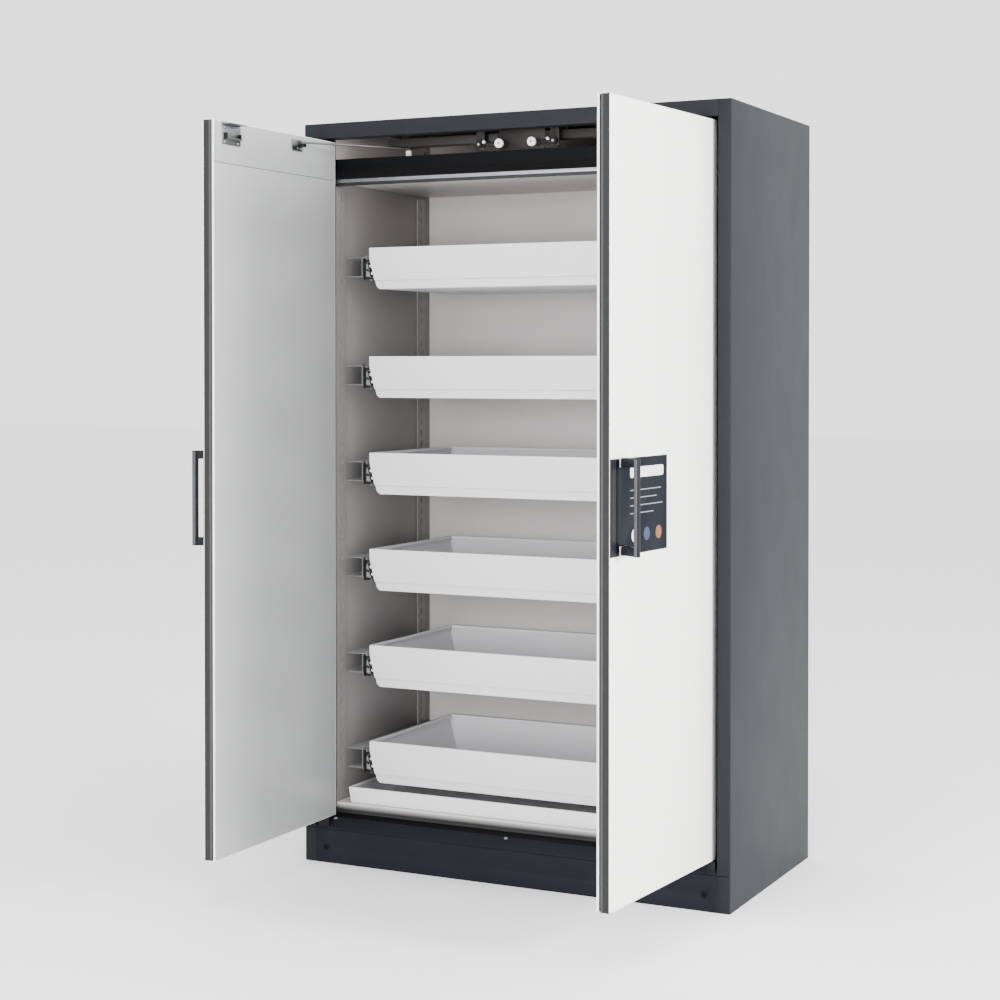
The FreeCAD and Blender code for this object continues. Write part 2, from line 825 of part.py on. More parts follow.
def make_label_plate():
    """Plain plate beside the right handle, cut out around the handle's feet."""
    face = -dim.pivot_skin_gap
    edge = dim.door_free_edge
    thickness = 1.2
    plate_edge = edge - 28
    cut_height = 21
    cut_inner = edge - 77
    cut_outer = edge - 45
    plate = Piece("label_plate").pad("XZ", face - thickness, face, mirrored(-1, rectangle(
        edge - dim.plate_reach, plate_edge, dim.plate_low, dim.plate_high)))
    feet = [(dim.plate_low - 1, dim.grip_low + cut_height),
            (dim.grip_high - cut_height, dim.plate_high + 1)]
    for low, high in feet:
        plate.pocket("XZ", face - thickness, face, mirrored(-1, rectangle(
            cut_inner, cut_outer, low, high)))
    node(place_on_door(plate, "right", 1))


def arm_start(side):
    """Pin of the closer arm in plan, with the door at its open angle."""
    angle = dim.left_open if side < 0 else dim.right_open
    along = dim.arm_bracket_along
    out = dim.arm_bracket_out
    inward = along * cosine(angle) + out * sine(angle)
    behind = out * cosine(angle) - along * sine(angle)
    return inward, behind


def make_closer_arm(name, side):
    """Closer arm from the door's bracket to its guide channel, with its rollers."""
    inward, behind = arm_start(side)
    swing = arcsine((dim.track_setback - behind) / dim.arm_length)
    start_x = side * (dim.pivot_across - inward)
    start_y = pivot_y + behind
    reach = dim.arm_length
    half = 7
    bow = 7
    low = dim.arm_level - 2
    high = dim.arm_level + 2
    guide_low = dim.track_level + 4
    guide_high = dim.track_level + 17
    guide_radius = 6
    catch_low = low - 19
    catch_radius = 8
    stem_radius = 3
    direction = -side
    end = direction * reach
    arm = Piece(f"closer_arm_{name}")
    arm.pad("XY", low, high, mirrored(direction, [
        (-half, -3), (-3, -half), (70, -half), (reach * 0.5, -half - bow), (reach - 40, -half),
        (reach + 3, -half), (reach + half, -3), (reach + half, 3), (reach + 3, half),
        (reach - 36, half), (reach * 0.5, half - bow), (66, half), (-3, half), (-half, 3)]))
    arm.pad("XY", high, guide_high, Circle(end, 0, stem_radius))
    arm.pad("XY", catch_low - 1, low, Circle(end, 0, stem_radius))
    arm.pocket("XY", low, high, Circle(0, 0, dim.arm_pin_radius + dim.pin_clearance))
    node(arm.place(start_x, start_y, -side, swing))
    bore = Circle(end, 0, stem_radius + 0.02)
    guide = Piece(f"guide_roller_{name}")
    guide.pad("XY", guide_low, guide_high, Circle(end, 0, guide_radius), bore)
    catch = Piece(f"catch_roller_{name}")
    catch.pad("XY", catch_low, low - 2, Circle(end, 0, catch_radius), bore)
    group(f"closer_rollers_{name}", [guide.place(start_x, start_y, -side, swing),
                                     catch.place(start_x, start_y, -side, swing)])


drawer_tops = [dim.drawer_first_top, dim.drawer_first_top - dim.drawer_first_pitch]
for number in range(1, 5):
    drawer_tops.append(drawer_tops[1] - number * dim.drawer_pitch)
drawer_front = front + dim.drawer_front
drawer_back = drawer_front + dim.drawer_length
slope = tangent(dim.side_tilt)
slide_offset = dim.drawer_half_width - (dim.slide_drop - dim.drawer_straight) * slope
rail_inset = 3
strip_thickness = 3


def tilted(side, top, outline):
    """Points given square to the drawer's slanting side, set beside a drawer."""
    lean = cosine(dim.side_tilt)
    drop = sine(dim.side_tilt)
    level = top - dim.slide_drop
    return [(side * (slide_offset + out * lean + up * drop), level - out * drop + up * lean)
            for out, up in outline]


def drawer_outline(top, inset, depth):
    """Cross-section of a drawer down to a depth below its top edge."""
    half = dim.drawer_half_width - inset
    corner_drop = dim.drawer_height - dim.drawer_chamfer_up
    lower = half - (corner_drop - dim.drawer_straight) * slope
    right = [(half, top), (half, top - dim.drawer_straight)]
    if depth.number < corner_drop.number:
        right.append((half - (depth - dim.drawer_straight) * slope, top - depth))
    else:
        right.append((lower, top - corner_drop))
        right.append((lower - dim.drawer_chamfer_across, top - depth))
    return right + [(-across, up) for across, up in reversed(right)]


def make_drawer(number, top):
    """Sheet-metal drawer with a stepped front, and the slide members screwed to its sides."""
    skin = dim.drawer_sheet
    full = dim.drawer_height
    face_depth = full - dim.drawer_lip
    lip_front = drawer_front + dim.drawer_lip_setback
    flange = 6
    rail_sheet = 1.4
    rail_half = 17.8
    fold = rail_half - rail_sheet
    tray = Piece(f"tray_{number}")
    tray.pad("XZ", lip_front, drawer_back, drawer_outline(top, as_size(0), full))
    tray.pad("XZ", drawer_front, lip_front, drawer_outline(top, as_size(0), face_depth))
    tray.pocket("XZ", lip_front + skin, drawer_back - skin,
                drawer_outline(top - skin, skin, full - 2 * skin))
    tray.pocket("XZ", drawer_front + skin, lip_front + skin,
                drawer_outline(top - skin, skin, face_depth - 2 * skin))
    rim = dim.drawer_half_width - dim.drawer_rim
    tray.pocket("XY", top - skin, top, rectangle(
        -rim, rim, drawer_front + dim.drawer_rim, drawer_back - dim.drawer_rim))
    pieces = [tray]
    for name, side in sides.items():
        rail = Piece(f"drawer_rail_{number}_{name}")
        rail.pad("XZ", lip_front + rail_inset, drawer_back, tilted(side, top, [
            (0, rail_half), (0, -rail_half), (flange, -rail_half), (flange, -fold),
            (rail_sheet, -fold), (rail_sheet, fold), (flange, fold), (flange, rail_half)]))
        pieces.append(rail)
    group(f"drawer_{number}", pieces)


def make_slides(number, top):
    """Middle slide members of one drawer; returns the cabinet's members and brackets."""
    near = drawer_front + dim.drawer_lip_setback + rail_inset
    far = drawer_back
    half = dim.slide_height / 2
    depth = dim.slide_depth
    skin = dim.slide_sheet
    inner_edge = 2
    middle_near = 3
    middle_far = 10.6
    web_near = 7
    web_far = 8.4
    middle_half = half - 2
    middle_fold = half - 3.4
    middles = []
    outers = []
    brackets = []
    for name, side in sides.items():
        middle = Piece(f"middle_rail_{number}_{name}")
        middle.pad("XZ", near, far, tilted(side, top, [
            (middle_near, middle_half), (middle_near, middle_fold), (web_near, middle_fold),
            (web_near, -middle_fold), (middle_near, -middle_fold), (middle_near, -middle_half),
            (middle_far, -middle_half), (middle_far, -middle_fold), (web_far, -middle_fold),
            (web_far, middle_fold), (middle_far, middle_fold), (middle_far, middle_half)]))
        middles.append(middle)
        outer = Piece(f"cabinet_rail_{number}_{name}")
        outer.pad("XZ", near, far, tilted(side, top, [
            (inner_edge, half), (inner_edge, half - skin), (depth - skin, half - skin),
            (depth - skin, skin - half), (inner_edge, skin - half), (inner_edge, -half),
            (depth, -half), (depth, half)]))
        outers.append(outer)
        brackets.append(make_bracket(number, name, side, top, near, far))
    group(f"middle_slides_{number}", middles)
    return outers, brackets


def make_bracket(number, name, side, top, near, far):
    """Box channel that carries a cabinet rail from the upright strips on the side wall."""
    skin = 1.5
    wall_face = inner_half - strip_thickness
    post = 470
    lean = cosine(dim.side_tilt)
    touch = slide_offset + dim.slide_depth / lean
    high = top - 20
    low = top - 88
    upper = top - 25
    lower = top - 75
    pivot = top - dim.slide_drop

    def web(level, thickness):
        """Face of the slanting web at a level, on the rail's side or the wall's side."""
        return touch + thickness / lean + (level - pivot) * slope

    outlines = [
        [(web(high, 0), high), (web(low, 0), low), (web(low, skin), low),
         (web(high, skin), high)],
        rectangle(web(upper, 0), wall_face, upper - skin, upper),
        rectangle(post, post + skin, lower - skin, upper - skin / 2),
        rectangle(post, wall_face, lower - skin, lower),
        [(post + skin, lower - skin), (post, lower), (web(low + 4, 0), low + 4),
         (web(low + 2, skin), low + 2)]]
    bracket = Piece(f"rail_bracket_{number}_{name}")
    for outline in outlines:
        bracket.pad("XZ", near, far, mirrored(side, outline))
    return bracket


def make_storage():
    """Upright strips, six drawers on their slides, and the sump tray on the floor."""
    strips = []
    strip_low = dim.floor_level + 45
    strip_high = dim.ceiling_level - 10
    for name, side in sides.items():
        faces = (side * inner_half, side * (inner_half - strip_thickness))
        edges = sorted(faces, key=lambda edge: edge.number)
        for near, far in ((frame_back + 3, frame_back + 43), (180, 220)):
            strips.append(block(f"upright_{name}_{len(strips) + 1}", edges[0], edges[1], near,
                                far, strip_low, strip_high))
    group("mounting_uprights", strips)
    rails = []
    brackets = []
    for number, top in enumerate(drawer_tops, start=1):
        make_drawer(number, top)
        outers, carriers = make_slides(number, top)
        rails.extend(outers)
        brackets.extend(carriers)
    group("fixed_rails", rails)
    group("rail_brackets", brackets)
    near = front + dim.sump_front
    far = near + dim.sump_length
    top_half = dim.sump_half_width
    low_half = dim.sump_half_width - dim.sump_slant
    base = dim.floor_level
    top = base + dim.sump_height
    skin = dim.drawer_sheet
    rim_across = 9
    rim_along = 6
    sump = Piece("sump_tray").pad("XZ", near, far, [
        (-low_half, base), (low_half, base), (top_half, top), (-top_half, top)])
    sump.pocket("XZ", near + skin, far - skin, [
        (-low_half + skin, base + skin), (low_half - skin, base + skin),
        (top_half - skin, top - skin), (-top_half + skin, top - skin)])
    sump.pocket("XY", top - skin, top, rectangle(
        -top_half + rim_across, top_half - rim_across, near + rim_along, far - rim_along))
    node(sump)


for side_name, side_sign in sides.items():
    make_side_panel(side_name, side_sign)
make_casing()
make_base()
make_insulation()
make_lining()
make_front_frame()
make_compartment()
make_ducts()
make_hinge_seats()
make_arm_tracks()
make_latches()
for side_name, side_sign in sides.items():
    make_door(side_name, side_sign)
    make_door_fittings(side_name, side_sign)
    make_handle(side_name, side_sign)
    make_closer_arm(side_name, side_sign)
make_label_plate()
make_storage()
document.recompute()

for item in document.Objects:
    if "Invalid" in item.State or "Error" in item.State:
        raise RuntimeError(f"{item.Label} failed: {item.State}")
for feature, before in cuts:
    if feature.Shape.Volume > before.Shape.Volume - 1:
        raise RuntimeError(f"{feature.Label} cuts nothing")
for label, item in nodes.items():
    shape = item.Shape
    if shape.isNull() or not shape.isValid():
        raise RuntimeError(f"{label} has no valid shape")
    if not shape.Solids:
        raise RuntimeError(f"{label} has no solid")

os.makedirs("parts", exist_ok=True)
for label, item in nodes.items():
    item.Shape.exportStep(f"parts/{label}.step")
print(f"{len(nodes)} nodes written")
for side_name, side_sign in sides.items():
    inward, behind = arm_start(side_sign)
    arm_angle = arcsine((dim.track_setback - behind) / dim.arm_length)
    print(f"{side_name} arm pin {dim.pivot_across.number - inward.number:.3f} across, "
          f"{(pivot_y + behind).number:.3f} along, arm at {arm_angle.number:.3f} degrees")
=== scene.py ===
import json
import math

import bpy
from mathutils import Matrix, Vector


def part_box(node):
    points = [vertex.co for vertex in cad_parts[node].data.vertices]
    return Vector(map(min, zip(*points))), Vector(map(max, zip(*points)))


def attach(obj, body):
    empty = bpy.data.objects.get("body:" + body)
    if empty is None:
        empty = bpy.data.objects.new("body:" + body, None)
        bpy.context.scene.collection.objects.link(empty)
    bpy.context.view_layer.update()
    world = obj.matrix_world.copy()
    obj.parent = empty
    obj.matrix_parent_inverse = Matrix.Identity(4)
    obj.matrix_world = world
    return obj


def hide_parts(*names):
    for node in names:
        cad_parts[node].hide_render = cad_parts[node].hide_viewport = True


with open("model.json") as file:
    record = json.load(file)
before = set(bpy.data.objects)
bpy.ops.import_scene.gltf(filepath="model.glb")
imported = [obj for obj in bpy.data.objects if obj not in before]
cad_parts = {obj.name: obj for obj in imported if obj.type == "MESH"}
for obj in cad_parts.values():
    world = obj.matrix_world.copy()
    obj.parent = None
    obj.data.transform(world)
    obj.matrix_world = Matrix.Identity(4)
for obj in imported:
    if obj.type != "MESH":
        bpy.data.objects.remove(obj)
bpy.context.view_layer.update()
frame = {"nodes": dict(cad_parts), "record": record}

unit = 0.001  # sizes below are in millimetres, Blender works in metres
sideSign = {"left": -1, "right": 1}
cadNodes = frame["nodes"]
bodyOfNode = {node: body for body, nodes in frame["record"]["behaviour"]["bodies"].items()
              for node in nodes}
slotOfNode = {part["node"]: part["material_slot"] for part in frame["record"]["subparts"]}

# view and light

view = {"place": (2.1949, -4.7712, 1.3155), "turn": 26.374, "tip": -0.818, "lens": 71.06,
        "shift": -0.1063}


def setCamera():
    lens = bpy.data.cameras.new("camera")
    lens.lens = view["lens"]
    lens.shift_y = view["shift"]
    camera = bpy.data.objects.new("camera", lens)
    bpy.context.scene.collection.objects.link(camera)
    camera.location = view["place"]
    camera.rotation_euler = (math.radians(90 + view["tip"]), 0, math.radians(view["turn"]))
    bpy.context.scene.camera = camera


studio = {
    "sky": 2.2, "floorTone": 0.92, "floorRough": 0.8, "floorDrop": 0.5, "floorSize": 60,
    "lamps": {  # place, target, size, power
        "key": ((5.4, -0.9, 2.1), (0.3, -0.4, 1.0), (1.8, 1.8), 600),
        "front": ((0.2, -6.2, 1.4), (-0.1, 0, 1.1), (1.6, 1.6), 330),
        "top": ((0.2, -2.4, 4.8), (0, -0.7, 0), (2.6, 2.6), 100),
    },
}


def setStudio():
    sky = bpy.data.worlds.new("studio")
    sky.use_nodes = True
    bpy.context.scene.world = sky
    glow = sky.node_tree.nodes["Background"]
    glow.inputs["Color"].default_value = (1, 1, 1, 1)
    glow.inputs["Strength"].default_value = studio["sky"]
    for name, (place, target, size, power) in studio["lamps"].items():
        lamp = bpy.data.lights.new(name, "AREA")
        lamp.shape = "RECTANGLE"
        lamp.size, lamp.size_y = size
        lamp.energy = power
        holder = bpy.data.objects.new(name, lamp)
        bpy.context.scene.collection.objects.link(holder)
        holder.location = place
        aim = Vector(target) - Vector(place)
        holder.rotation_euler = aim.to_track_quat("-Z", "Y").to_euler()
    level = -studio["floorDrop"] * unit
    bpy.ops.mesh.primitive_plane_add(size=studio["floorSize"], location=(0, 0, level))
    floor = bpy.context.active_object
    floor.name = "floor"
    tone, rough = (studio["floorTone"],) * 3, studio["floorRough"]
    floor.data.materials.append(Finish("studioFloor").surface(color=tone, rough=rough))


# shader maths

class Wire:
    # one socket; arithmetic on it adds Math nodes
    def __init__(self, finish, socket):
        self.finish = finish
        self.socket = socket

    def maths(self, operation, *values):
        return self.finish.node("ShaderNodeMath", {"operation": operation}, values)

    def __add__(self, other):
        return self.maths("ADD", self, other)

    def __sub__(self, other):
        return self.maths("SUBTRACT", self, other)

    def __rsub__(self, other):
        return self.maths("SUBTRACT", other, self)

    def __mul__(self, other):
        return self.maths("MULTIPLY", self, other)

    def __pow__(self, other):
        return self.maths("POWER", self, other)

    __radd__ = __add__
    __rmul__ = __mul__


class Finish:
    # one procedural material
    sockets = {"color": "Base Color", "rough": "Roughness", "metal": "Metallic",
               "normal": "Normal", "gloss": "Specular IOR Level"}

    def __init__(self, name="finish"):
        self.material = bpy.data.materials.new(name)
        self.material.use_nodes = True
        self.tree = self.material.node_tree
        self.shader = self.tree.nodes["Principled BSDF"]

    def node(self, kind, settings=None, values=(), output=0):
        made = self.tree.nodes.new(kind)
        for key, value in (settings or {}).items():
            setattr(made, key, value)
        for key, value in values.items() if isinstance(values, dict) else enumerate(values):
            self.feed(made.inputs[key], value)
        return Wire(self, made.outputs[output])

    def feed(self, socket, value):
        if isinstance(value, Wire):
            self.tree.links.new(value.socket, socket)
        elif hasattr(value, "__len__") and socket.type == "RGBA":
            socket.default_value = (*value[:3], 1)
        else:
            socket.default_value = value

    def noise(self, size, detail=2, stretch=(1, 1, 1), rough=0.5):
        # on object coordinates, its grain size in millimetres
        spot = self.node("ShaderNodeTexCoord", output="Object")
        place = self.node("ShaderNodeMapping", None, {"Vector": spot, "Scale": stretch})
        return self.node("ShaderNodeTexNoise", None, {
            "Vector": place, "Scale": 1 / (size * unit), "Detail": detail, "Roughness": rough})

    def mix(self, amount, first, second):
        sockets = {0: amount, 6: first, 7: second}
        return self.node("ShaderNodeMix", {"data_type": "RGBA"}, sockets, 2)

    def ramp(self, value, low, high):
        sockets = {"Value": value, "From Min": low, "From Max": high}
        return self.node("ShaderNodeMapRange", None, sockets)

    def bump(self, height, depth):
        return self.node("ShaderNodeBump", None, {"Height": height, "Distance": depth * unit})

    def clouds(self, size, color, dark, light, detail=3, start=0.3):
        # slow changes of tone round one colour
        amount = self.ramp(self.noise(size, detail), start, 0.7)
        return self.mix(amount, shade(color, dark), shade(color, light))

    def surface(self, **settings):
        for name, value in settings.items():
            self.feed(self.shader.inputs[self.sockets[name]], value)
        return self.material


def linear(color):
    # screen colour 0-255 to the linear value that the shader takes
    return tuple((v / 255 / 12.92) if v <= 10 else ((v / 255 + 0.055) / 1.055) ** 2.4
                 for v in color)


def shade(color, factor):
    return tuple(min(1, v * factor) for v in color)


# finishes

def powderCoat(color, grain=0.9, rough=0.42, depth=0.05, wear=0.05, gloss=0.5):
    # sprayed paint: fine orange peel, faint clouds and a slightly uneven gloss
    paint = Finish()
    color = linear(color)
    peel = paint.noise(grain, 3)
    speck = paint.noise(grain * 0.35, 1)
    smear = paint.noise(90, 4, (1, 1, 0.7))
    tone = paint.clouds(260, color, 1 - wear, 1 + wear, start=0.35)
    tone = paint.mix(paint.ramp(speck, 0.62, 0.8) * 0.35, tone, shade(color, 1.25))
    tone = paint.mix(paint.ramp(speck, 0.4, 0.22) * 0.35, tone, shade(color, 0.75))
    return paint.surface(color=tone, rough=paint.ramp(smear, 0.3, 0.7) * 0.04 + (rough - 0.02),
                         gloss=gloss, normal=paint.bump(peel + speck * 0.4, depth))


def rubber(color, gloss=0.35):
    band = Finish()
    color = linear(color)
    grain = band.noise(0.5)
    dust = band.noise(24, 4)
    tone = band.mix(band.ramp(dust, 0.45, 0.75) * 0.5, color, shade(color, 1.9))
    return band.surface(color=tone, rough=band.ramp(grain, 0.3, 0.7) * 0.2 + 0.5, gloss=gloss,
                        normal=band.bump(grain, 0.03))


def sheetMetal(color, along, rough=0.3):
    # rolled and plated sheet with fine lines along one axis
    metal = Finish()
    color = linear(color)
    lines = metal.noise(0.5, 3, tuple(0.02 if axis == along else 1 for axis in "XYZ"))
    tone = metal.clouds(18, color, 0.85, 1.08)
    tone = metal.mix(metal.ramp(lines, 0.35, 0.65) * 0.4, tone, shade(color, 0.7))
    return metal.surface(color=tone, metal=1.0, rough=metal.ramp(lines, 0.2, 0.8) * 0.2 + rough,
                         normal=metal.bump(lines, 0.01))


def moulded(color, rough=0.5, depth=0.02, gloss=0.5):
    # injection-moulded plastic with a fine spark-eroded grain
    body = Finish()
    pits = body.noise(0.25)
    return body.surface(color=body.clouds(35, linear(color), 0.93, 1.07, 2), gloss=gloss,
                        rough=body.ramp(pits, 0.3, 0.7) * 0.15 + (rough - 0.07),
                        normal=body.bump(pits, depth))


def laminate(color, shadeColor=None):
    # pearl grain and soft tone changes; given a shade colour, the rounded sill gets painted shade,
    # darker towards the bottom of its nose
    board = Finish()
    color = linear(color)
    pearl = board.noise(0.8, 4)
    if shadeColor:
        spot = board.node("ShaderNodeTexCoord", output="Object")
        height = board.node("ShaderNodeSeparateXYZ", None, [spot], output=2)
        # painted shade: below 153 mm the colour turns towards the shade colour
        shadow = 1 - board.ramp(height, 130 * unit, 153 * unit) ** 3
        tone = board.mix(shadow, color, linear(shadeColor))
    else:
        tone = board.clouds(320, color, 0.95, 1.04)
    tone = board.mix(board.ramp(pearl, 0.55, 0.75) * 0.18, tone,
                     shade(color, 0.6 if shadeColor else 0.8))
    return board.surface(color=tone, rough=board.ramp(pearl, 0.3, 0.7) * 0.12 + 0.34,
                         gloss=0.3 if shadeColor else 0.5, normal=board.bump(pearl, 0.015))


def fireBoard(color):
    board = Finish()
    color = linear(color)
    fleck = board.noise(1.6, 5, rough=0.7)
    tone = board.mix(board.ramp(fleck, 0.5, 0.7) * 0.4, board.clouds(60, color, 0.88, 1.06),
                     shade(color, 0.6))
    return board.surface(color=tone, rough=0.9, normal=board.bump(fleck, 0.15))


# the record's slots, then this scene's own finishes
finishes = {
    "casing_paint": powderCoat((33, 36, 38), 0.8, wear=0.02, gloss=0.03),
    "front_paint": powderCoat((32, 33, 36), 0.8, wear=0.04, gloss=0.04),
    "black_steel": powderCoat((20, 20, 22), rough=0.5, gloss=0.12),
    "zinc_steel": sheetMetal((150, 152, 154), "X"),
    "slide_steel": sheetMetal((150, 151, 151), "Y"),
    "arm_steel": powderCoat((74, 74, 72), 0.5, 0.35, gloss=0.3),
    "insulation": fireBoard((206, 200, 188)),
    "lining_laminate": laminate((190, 186, 184)),
    "seal_rubber": rubber((18, 18, 20)),
    "black_band": powderCoat((8, 9, 12), rough=0.5, gloss=0.05),
    "bright_trim": sheetMetal((150, 151, 156), "X", 0.28),
    "compartment_sheet": powderCoat((176, 168, 162), rough=0.45, gloss=0.3),
    "shelf_paint": powderCoat((209, 209, 212), 0.6, 0.36, 0.03, 0.02),
    "brass_stud": sheetMetal((196, 160, 84), "Z"),
    "door_paint": powderCoat((244, 241, 237), 0.7, 0.38, 0.03, 0.015),
    "door_core": moulded((62, 63, 64), 0.4, gloss=0.1),
    "door_liner": powderCoat((166, 167, 168), 0.6, 0.34, 0.03, 0.03, 0.3),
    "black_fittings": moulded((16, 17, 18), 0.45, gloss=0.15),
    "handle_plastic": moulded((24, 25, 29), 0.45, gloss=0.08),
    "plate_plastic": moulded((9, 14, 21), 0.4, 0.01, 0.05),
    "roller_plastic": moulded((238, 238, 234), 0.32),
    "plinthPaint": powderCoat((26, 28, 33), 0.8, wear=0.04, gloss=0.03),
    "sideLaminate": laminate((128, 125, 124)),
    # laminate with painted shade on the lower half of the rounded sill
    "thresholdLaminate": laminate((200, 197, 194), (24, 24, 26)),
    "frameRubber": rubber((7, 7, 8), 0.06),
    "trackBrown": powderCoat((38, 35, 33), rough=0.5, gloss=0.2),
    # grey paint darkened as painted shade for the rail brackets deep inside the cabinet
    "bracketGrey": powderCoat((112, 112, 113), 0.6, gloss=0.3),
    "handleGreyLight": moulded((64, 67, 71), 0.45, gloss=0.2),
    "printWhite": moulded((214, 214, 210), 0.4, 0.005),
    "printGrey": moulded((96, 108, 116), 0.4, 0.005),
    "printBlue": moulded((3, 30, 74), 0.4, 0.005),
    "printAmber": moulded((118, 62, 4), 0.4, 0.005),
}
for finishName, material in finishes.items():
    material.name = finishName


# modelling helpers

def deselect():
    bpy.ops.object.select_all(action="DESELECT")


def pick(piece):
    deselect()
    piece.select_set(True)
    bpy.context.view_layer.objects.active = piece


def editAll(piece):
    pick(piece)
    bpy.ops.object.mode_set(mode="EDIT")
    bpy.ops.mesh.select_all(action="SELECT")


def objectMode():
    bpy.ops.object.mode_set(mode="OBJECT")


def faceOutward(piece):
    editAll(piece)
    bpy.ops.mesh.normals_make_consistent(inside=False)
    objectMode()
    return piece


def applyPlace(piece):
    pick(piece)
    bpy.ops.object.transform_apply(location=True, rotation=True, scale=True)
    return piece


def swingTo(piece, across, along, angle):
    # turned about the vertical at zero, then set down at its pivot
    piece.rotation_euler.z = angle
    piece.location = Vector((across, along, 0)) * unit
    return applyPlace(piece)


def onAxis(axis, along, first, second):
    # the two other coordinates follow in X, Y, Z order
    spot = [first, second]
    spot.insert("XYZ".index(axis), along)
    return Vector(spot)


def drawOutline(points, axis, low, high, wall=None):
    # an outline, or a ring of that wall inside it, pulled from low to high along an axis
    deselect()
    bpy.ops.mesh.primitive_circle_add(vertices=len(points), radius=0.1, fill_type="NGON")
    piece = bpy.context.active_object
    for vertex, (first, second) in zip(piece.data.vertices, points):
        vertex.co = onAxis(axis, low, first, second) * unit
    editAll(piece)
    if wall:
        bpy.ops.mesh.inset(thickness=wall * unit, depth=0)
        bpy.ops.mesh.delete(type="FACE")
        bpy.ops.mesh.select_all(action="SELECT")
    pull = onAxis(axis, high - low, 0, 0) * unit
    bpy.ops.mesh.extrude_region_move(TRANSFORM_OT_translate={"value": pull})
    objectMode()
    return faceOutward(piece)


def turnRings(rings, center, axis="Z", sides=32, closed=False):
    # a turned shape: rings of (radius, height), capped at both ends or closed on itself
    deselect()
    radius, height = rings[0]
    fill = "NOTHING" if closed else "NGON"
    bpy.ops.mesh.primitive_circle_add(vertices=sides, radius=radius * unit, fill_type=fill,
                                      location=(0, 0, height * unit))
    piece = applyPlace(bpy.context.active_object)
    editAll(piece)
    extrude = bpy.ops.mesh.extrude_edges_move if closed else bpy.ops.mesh.extrude_region_move
    for nextRadius, nextHeight in rings[1:] + (rings[:1] if closed else []):
        extrude(TRANSFORM_OT_translate={"value": (0, 0, (nextHeight - height) * unit)})
        scale, middle = nextRadius / radius, (0, 0, nextHeight * unit)
        bpy.ops.transform.resize(value=(scale, scale, 1), center_override=middle)
        radius, height = nextRadius, nextHeight
    bpy.ops.mesh.select_all(action="SELECT")
    bpy.ops.mesh.remove_doubles(threshold=0.000001)
    objectMode()
    faceOutward(piece)
    quarter = math.radians(90)
    piece.rotation_euler = {"X": (0, quarter, 0), "Y": (-quarter, 0, 0), "Z": (0, 0, 0)}[axis]
    piece.location = Vector(center) * unit
    return applyPlace(piece)


def modify(piece, kind, **settings):
    pick(piece)
    modifier = piece.modifiers.new(kind.lower(), kind)
    for key, value in settings.items():
        setattr(modifier, key, value)
    bpy.ops.object.modifier_apply(modifier=modifier.name)


def smoothFlats(piece, angle=35):
    pick(piece)
    bpy.ops.object.shade_smooth_by_angle(angle=math.radians(angle))
    return piece


def roundEdges(piece, width, segments=2):
    modify(piece, "BEVEL", width=width * unit, segments=segments, limit_method="ANGLE",
           angle_limit=math.radians(30))
    return smoothFlats(piece)


def join(pieces):
    deselect()
    for piece in pieces:
        piece.select_set(True)
    bpy.context.view_layer.objects.active = pieces[0]
    bpy.ops.object.join()
    return pieces[0]


def copyTo(piece, offset=(0, 0, 0)):
    twin = piece.copy()
    twin.data = piece.data.copy()
    bpy.context.scene.collection.objects.link(twin)
    twin.data.transform(Matrix.Translation(Vector(offset) * unit))
    return twin


def finishPiece(piece, name, node, finish=None, instead=False):
    # places, names and paints a piece, hangs it on its node's body, and hides the node when the
    # piece takes its place
    applyPlace(piece)
    piece.name = piece.data.name = name
    paint = finish or slotOfNode[node]
    piece.data.materials.clear()
    piece.data.materials.append(finishes[paint])
    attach(piece, bodyOfNode[node])
    paint if paint in slotOfNode.values() else slotOfNode[node]
    if instead:
        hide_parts(node)


def softCopy(node, width=0.5, segments=2, finish=None):
    # the CAD node's own shape with its sharp edges eased
    piece = copyTo(cadNodes[node])
    piece.parent = None
    piece.matrix_world = Matrix.Identity(4)
    for key in list(piece.keys()):
        if key.startswith("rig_"):
            del piece[key]
    editAll(piece)
    bpy.ops.mesh.remove_doubles(threshold=0.00001)
    bpy.ops.mesh.dissolve_limited(angle_limit=math.radians(1))
    objectMode()
    finishPiece(roundEdges(piece, width, segments), node + "Soft", node, finish, True)


def markFaces(piece, test):
    # edit mode with those faces selected whose centre and normal pass the test
    pick(piece)
    bpy.ops.object.mode_set(mode="EDIT")
    bpy.ops.mesh.select_mode(type="FACE")
    bpy.ops.mesh.select_all(action="DESELECT")
    objectMode()
    for face in piece.data.polygons:
        face.select = test(face.center, face.normal)
    bpy.ops.object.mode_set(mode="EDIT")


def leaveFaces():
    bpy.ops.mesh.select_mode(type="VERT")
    objectMode()


def nodeBox(node):
    low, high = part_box(node)
    return [value / unit for value in low], [value / unit for value in high]


def screwHead(center, axis, radius=4.0, height=2.2):
    # low round head with a socket; shares of the radius and the height
    profile = [(1, 0), (1, 0.35), (0.86, 0.8), (0.6, 1), (0.45, 1), (0.4, 0.4)]
    return turnRings([(radius * out, height * up) for out, up in profile], center, axis, 16)


def mirrorPoints(sign, points):
    return [(sign * first, second) for first, second in points]


def boxOutline(left, right, bottom, top):
    return [(left, bottom), (right, bottom), (right, top), (left, top)]


def arc(center, radius, start, end, steps=6):
    turns = [math.radians(start + (end - start) * i / steps) for i in range(steps + 1)]
    return [(center[0] + radius * math.cos(turn), center[1] + radius * math.sin(turn))
            for turn in turns]


def roundedRectangle(left, right, bottom, top, radius, steps=4):
    corners = ((right - radius, bottom + radius), (right - radius, top - radius),
               (left + radius, top - radius), (left + radius, bottom + radius))
    return [point for number, corner in enumerate(corners)
            for point in arc(corner, radius, 90 * number - 90, 90 * number, steps)]


# doors

